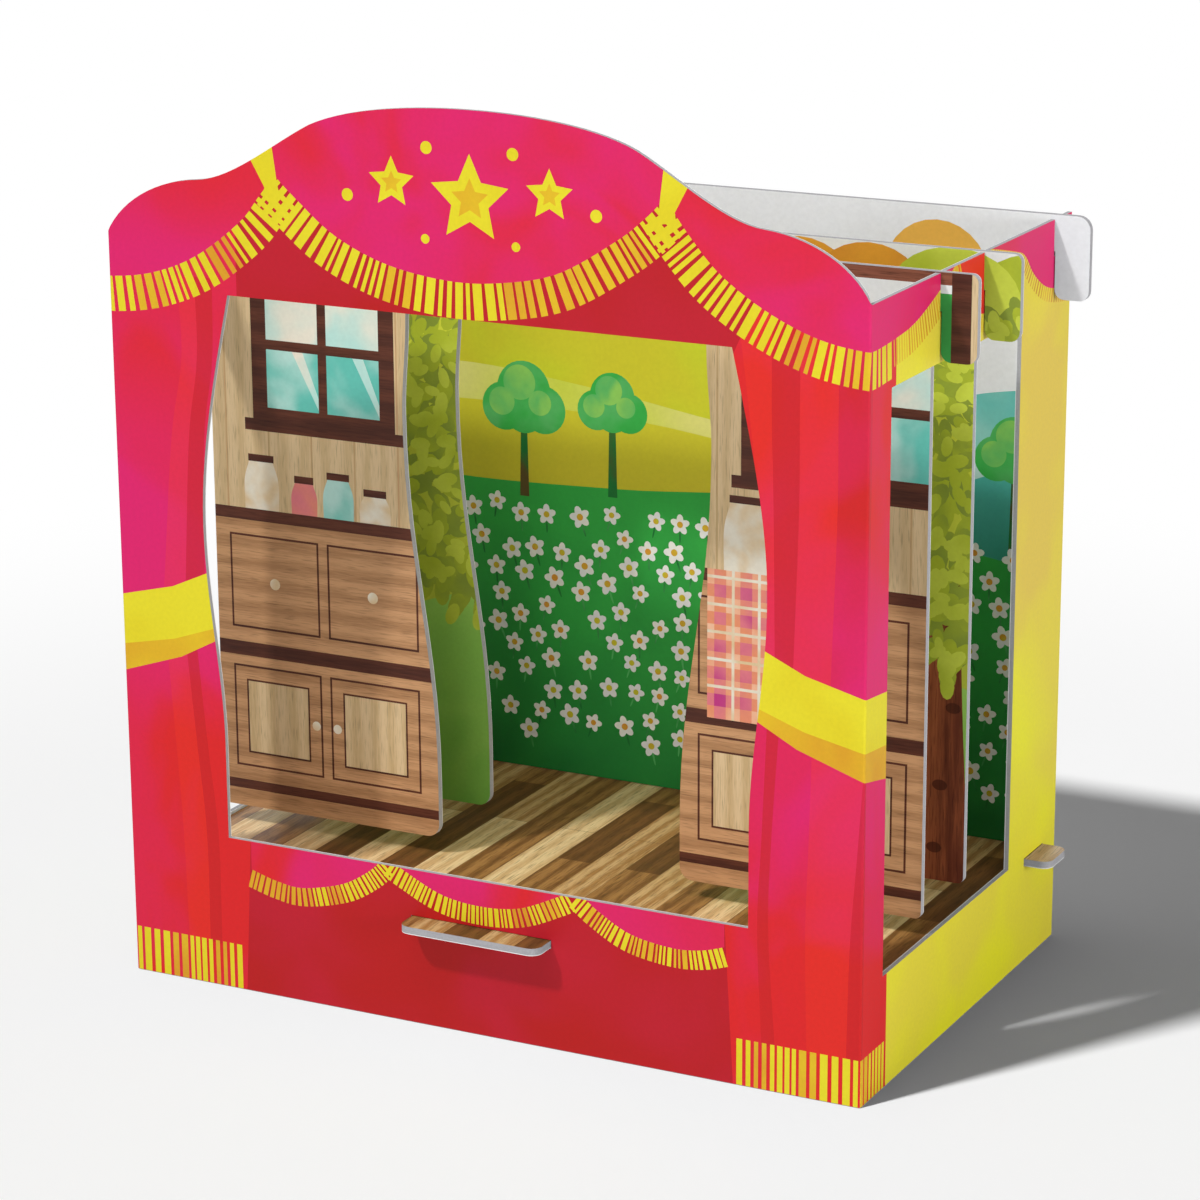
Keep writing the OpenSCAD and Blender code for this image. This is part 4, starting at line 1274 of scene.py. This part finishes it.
class THEATRE_OT_studio(bpy.types.Operator):
    """Set the pale floor, the lamps and the camera"""
    bl_idname = "theatre.studio"
    bl_label = "Studio"

    def execute(self, context):
        s = context.scene.theatre.studio
        context.scene.view_settings.view_transform = "Standard"
        self.floor(context, s)
        self.room(context, s)
        self.lamps(context, s)
        self.camera(context)
        return {"FINISHED"}

    def floor(self, context, s):
        """A pale matt floor that turns plain white away from the object."""
        material, tree, at = blank_material("painted_studio_floor")
        direct = seen_directly(tree)
        shade = add(tree, "ShaderNodeMix", {
            "Factor_Float": direct, "A_Color": rgba(s.bounce), "B_Color": rgba(s.floor)}, data_type="RGBA")
        paint = add(tree, "ShaderNodeBsdfDiffuse", {"Color": shade})
        white = add(tree, "ShaderNodeEmission", {"Strength": 1.0})
        away = add(tree, "ShaderNodeVectorMath", {"Vector": at}, operation="LENGTH")
        share = add(tree, "ShaderNodeMapRange", {"Value": away, "From Min": WHITE_FROM, "From Max": WHITE_AT},
                    interpolation_type="SMOOTHSTEP")
        share = add(tree, "ShaderNodeMath", {"Value": share, "Value_001": direct}, operation="MULTIPLY")
        both = add(tree, "ShaderNodeMixShader", {"Fac": share, "Shader": paint, "Shader_001": white})
        add(tree, "ShaderNodeOutputMaterial", {"Surface": both})
        mesh = bpy.data.meshes.new("studio_floor")
        h = FLOOR_HALF
        mesh.from_pydata([(-h, -h, 0), (h, -h, 0), (h, h, 0), (-h, h, 0)], [], [(0, 1, 2, 3)])
        mesh.materials.append(material)
        floor = bpy.data.objects.new("studio_floor", mesh)
        context.scene.collection.objects.link(floor)

    def room(self, context, s):
        """A white room: soft light all round, and plain white where it is seen."""
        world = bpy.data.worlds.new("white_room")
        context.scene.world = world
        world.use_nodes = True
        tree = world.node_tree
        tree.nodes.clear()
        strength = add(tree, "ShaderNodeMapRange", {
            "Value": seen_directly(tree), "To Min": s.sky, "To Max": 1.0})
        light = add(tree, "ShaderNodeBackground", {"Color": (1, 1, 1, 1), "Strength": strength})
        add(tree, "ShaderNodeOutputWorld", {"Surface": light})

    def lamps(self, context, s):
        """A key sun from the upper front left, and softboxes on the right, behind, before and above. The
        floor has a sun of its own and no softbox, so that its shade is set apart from the theatre's light."""
        floor = context.scene.objects["studio_floor"]
        floor_alone = self.receivers("floor_alone", floor, "INCLUDE")
        all_but_floor = self.receivers("all_but_floor", floor, "EXCLUDE")
        self.sun(context, "key_sun", s.key, all_but_floor)
        self.sun(context, "floor_sun", s.floor_key, floor_alone)
        for name, place in SOFTBOX_AT.items():
            self.softbox(context, name + "_softbox", getattr(s, name), place, all_but_floor)

    def receivers(self, name, floor, state):
        """What a lamp lights: the floor alone, or everything else."""
        group = bpy.data.collections.new(name)
        group.objects.link(floor)
        group.collection_objects[0].light_linking.link_state = state
        return group

    def sun(self, context, name, strength, lit):
        """Parallel light in the direction of the photograph's shadows."""
        data = bpy.data.lights.new(name, "SUN")
        data.energy = strength
        data.angle = KEY_BLUR
        lamp = bpy.data.objects.new(name, data)
        lamp.rotation_euler = KEY_FALL.to_track_quat("-Z", "Y").to_euler()
        lamp.light_linking.receiver_collection = lit
        context.scene.collection.objects.link(lamp)

    def softbox(self, context, name, power, place, lit):
        """A wide lamp, turned to the theatre and out of sight itself."""
        data = bpy.data.lights.new(name, "AREA")
        data.energy = power
        data.shape = "RECTANGLE"
        data.size, data.size_y = SOFTBOX_SIZE
        lamp = bpy.data.objects.new(name, data)
        lamp.location = place
        lamp.rotation_euler = (SOFTBOX_AIM - lamp.location).to_track_quat("-Z", "Y").to_euler()
        lamp.visible_camera = False
        lamp.light_linking.receiver_collection = lit
        context.scene.collection.objects.link(lamp)

    def camera(self, context):
        """A long lens at the photograph's station point."""
        data = bpy.data.cameras.new("camera")
        data.lens = LENS_MM
        camera = bpy.data.objects.new("camera", data)
        turn = (Matrix.Rotation(CAMERA_YAW, 4, "Z") @ Matrix.Rotation(math.pi / 2 - CAMERA_PITCH, 4, "X")
                @ Matrix.Rotation(CAMERA_ROLL, 4, "Z"))
        camera.matrix_world = Matrix.Translation(CAMERA_AT * MM) @ turn
        context.scene.collection.objects.link(camera)
        context.scene.camera = camera


class THEATRE_PT_panel(bpy.types.Panel):
    """Lists the steps that finish the theatre"""
    bl_idname = "THEATRE_PT_panel"
    bl_label = "Toy theatre"
    bl_space_type = "VIEW_3D"
    bl_region_type = "UI"
    bl_category = "Toy theatre"

    def draw(self, context):
        for step in STEPS:
            self.layout.operator(step.bl_idname)


STEPS = (THEATRE_OT_boards, THEATRE_OT_curtain, THEATRE_OT_planks, THEATRE_OT_kitchen, THEATRE_OT_forest,
         THEATRE_OT_meadow, THEATRE_OT_studio)
CLASSES = (BoardSettings, CurtainSettings, PlankSettings, KitchenSettings, ForestSettings, MeadowSettings,
           StudioSettings, TheatreSettings, *STEPS, THEATRE_PT_panel)


def register():
    for cls in CLASSES:
        bpy.utils.register_class(cls)
    bpy.types.Scene.theatre = bpy.props.PointerProperty(type=TheatreSettings)


def unregister():
    del bpy.types.Scene.theatre
    for cls in reversed(CLASSES):
        bpy.utils.unregister_class(cls)


def main():
    register()
    bpy.ops.theatre.boards()
    bpy.ops.theatre.curtain()
    bpy.ops.theatre.planks()
    bpy.ops.theatre.kitchen()
    bpy.ops.theatre.forest()
    bpy.ops.theatre.meadow()
    bpy.ops.theatre.studio()
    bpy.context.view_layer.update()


if __name__ == "__main__":
    main()
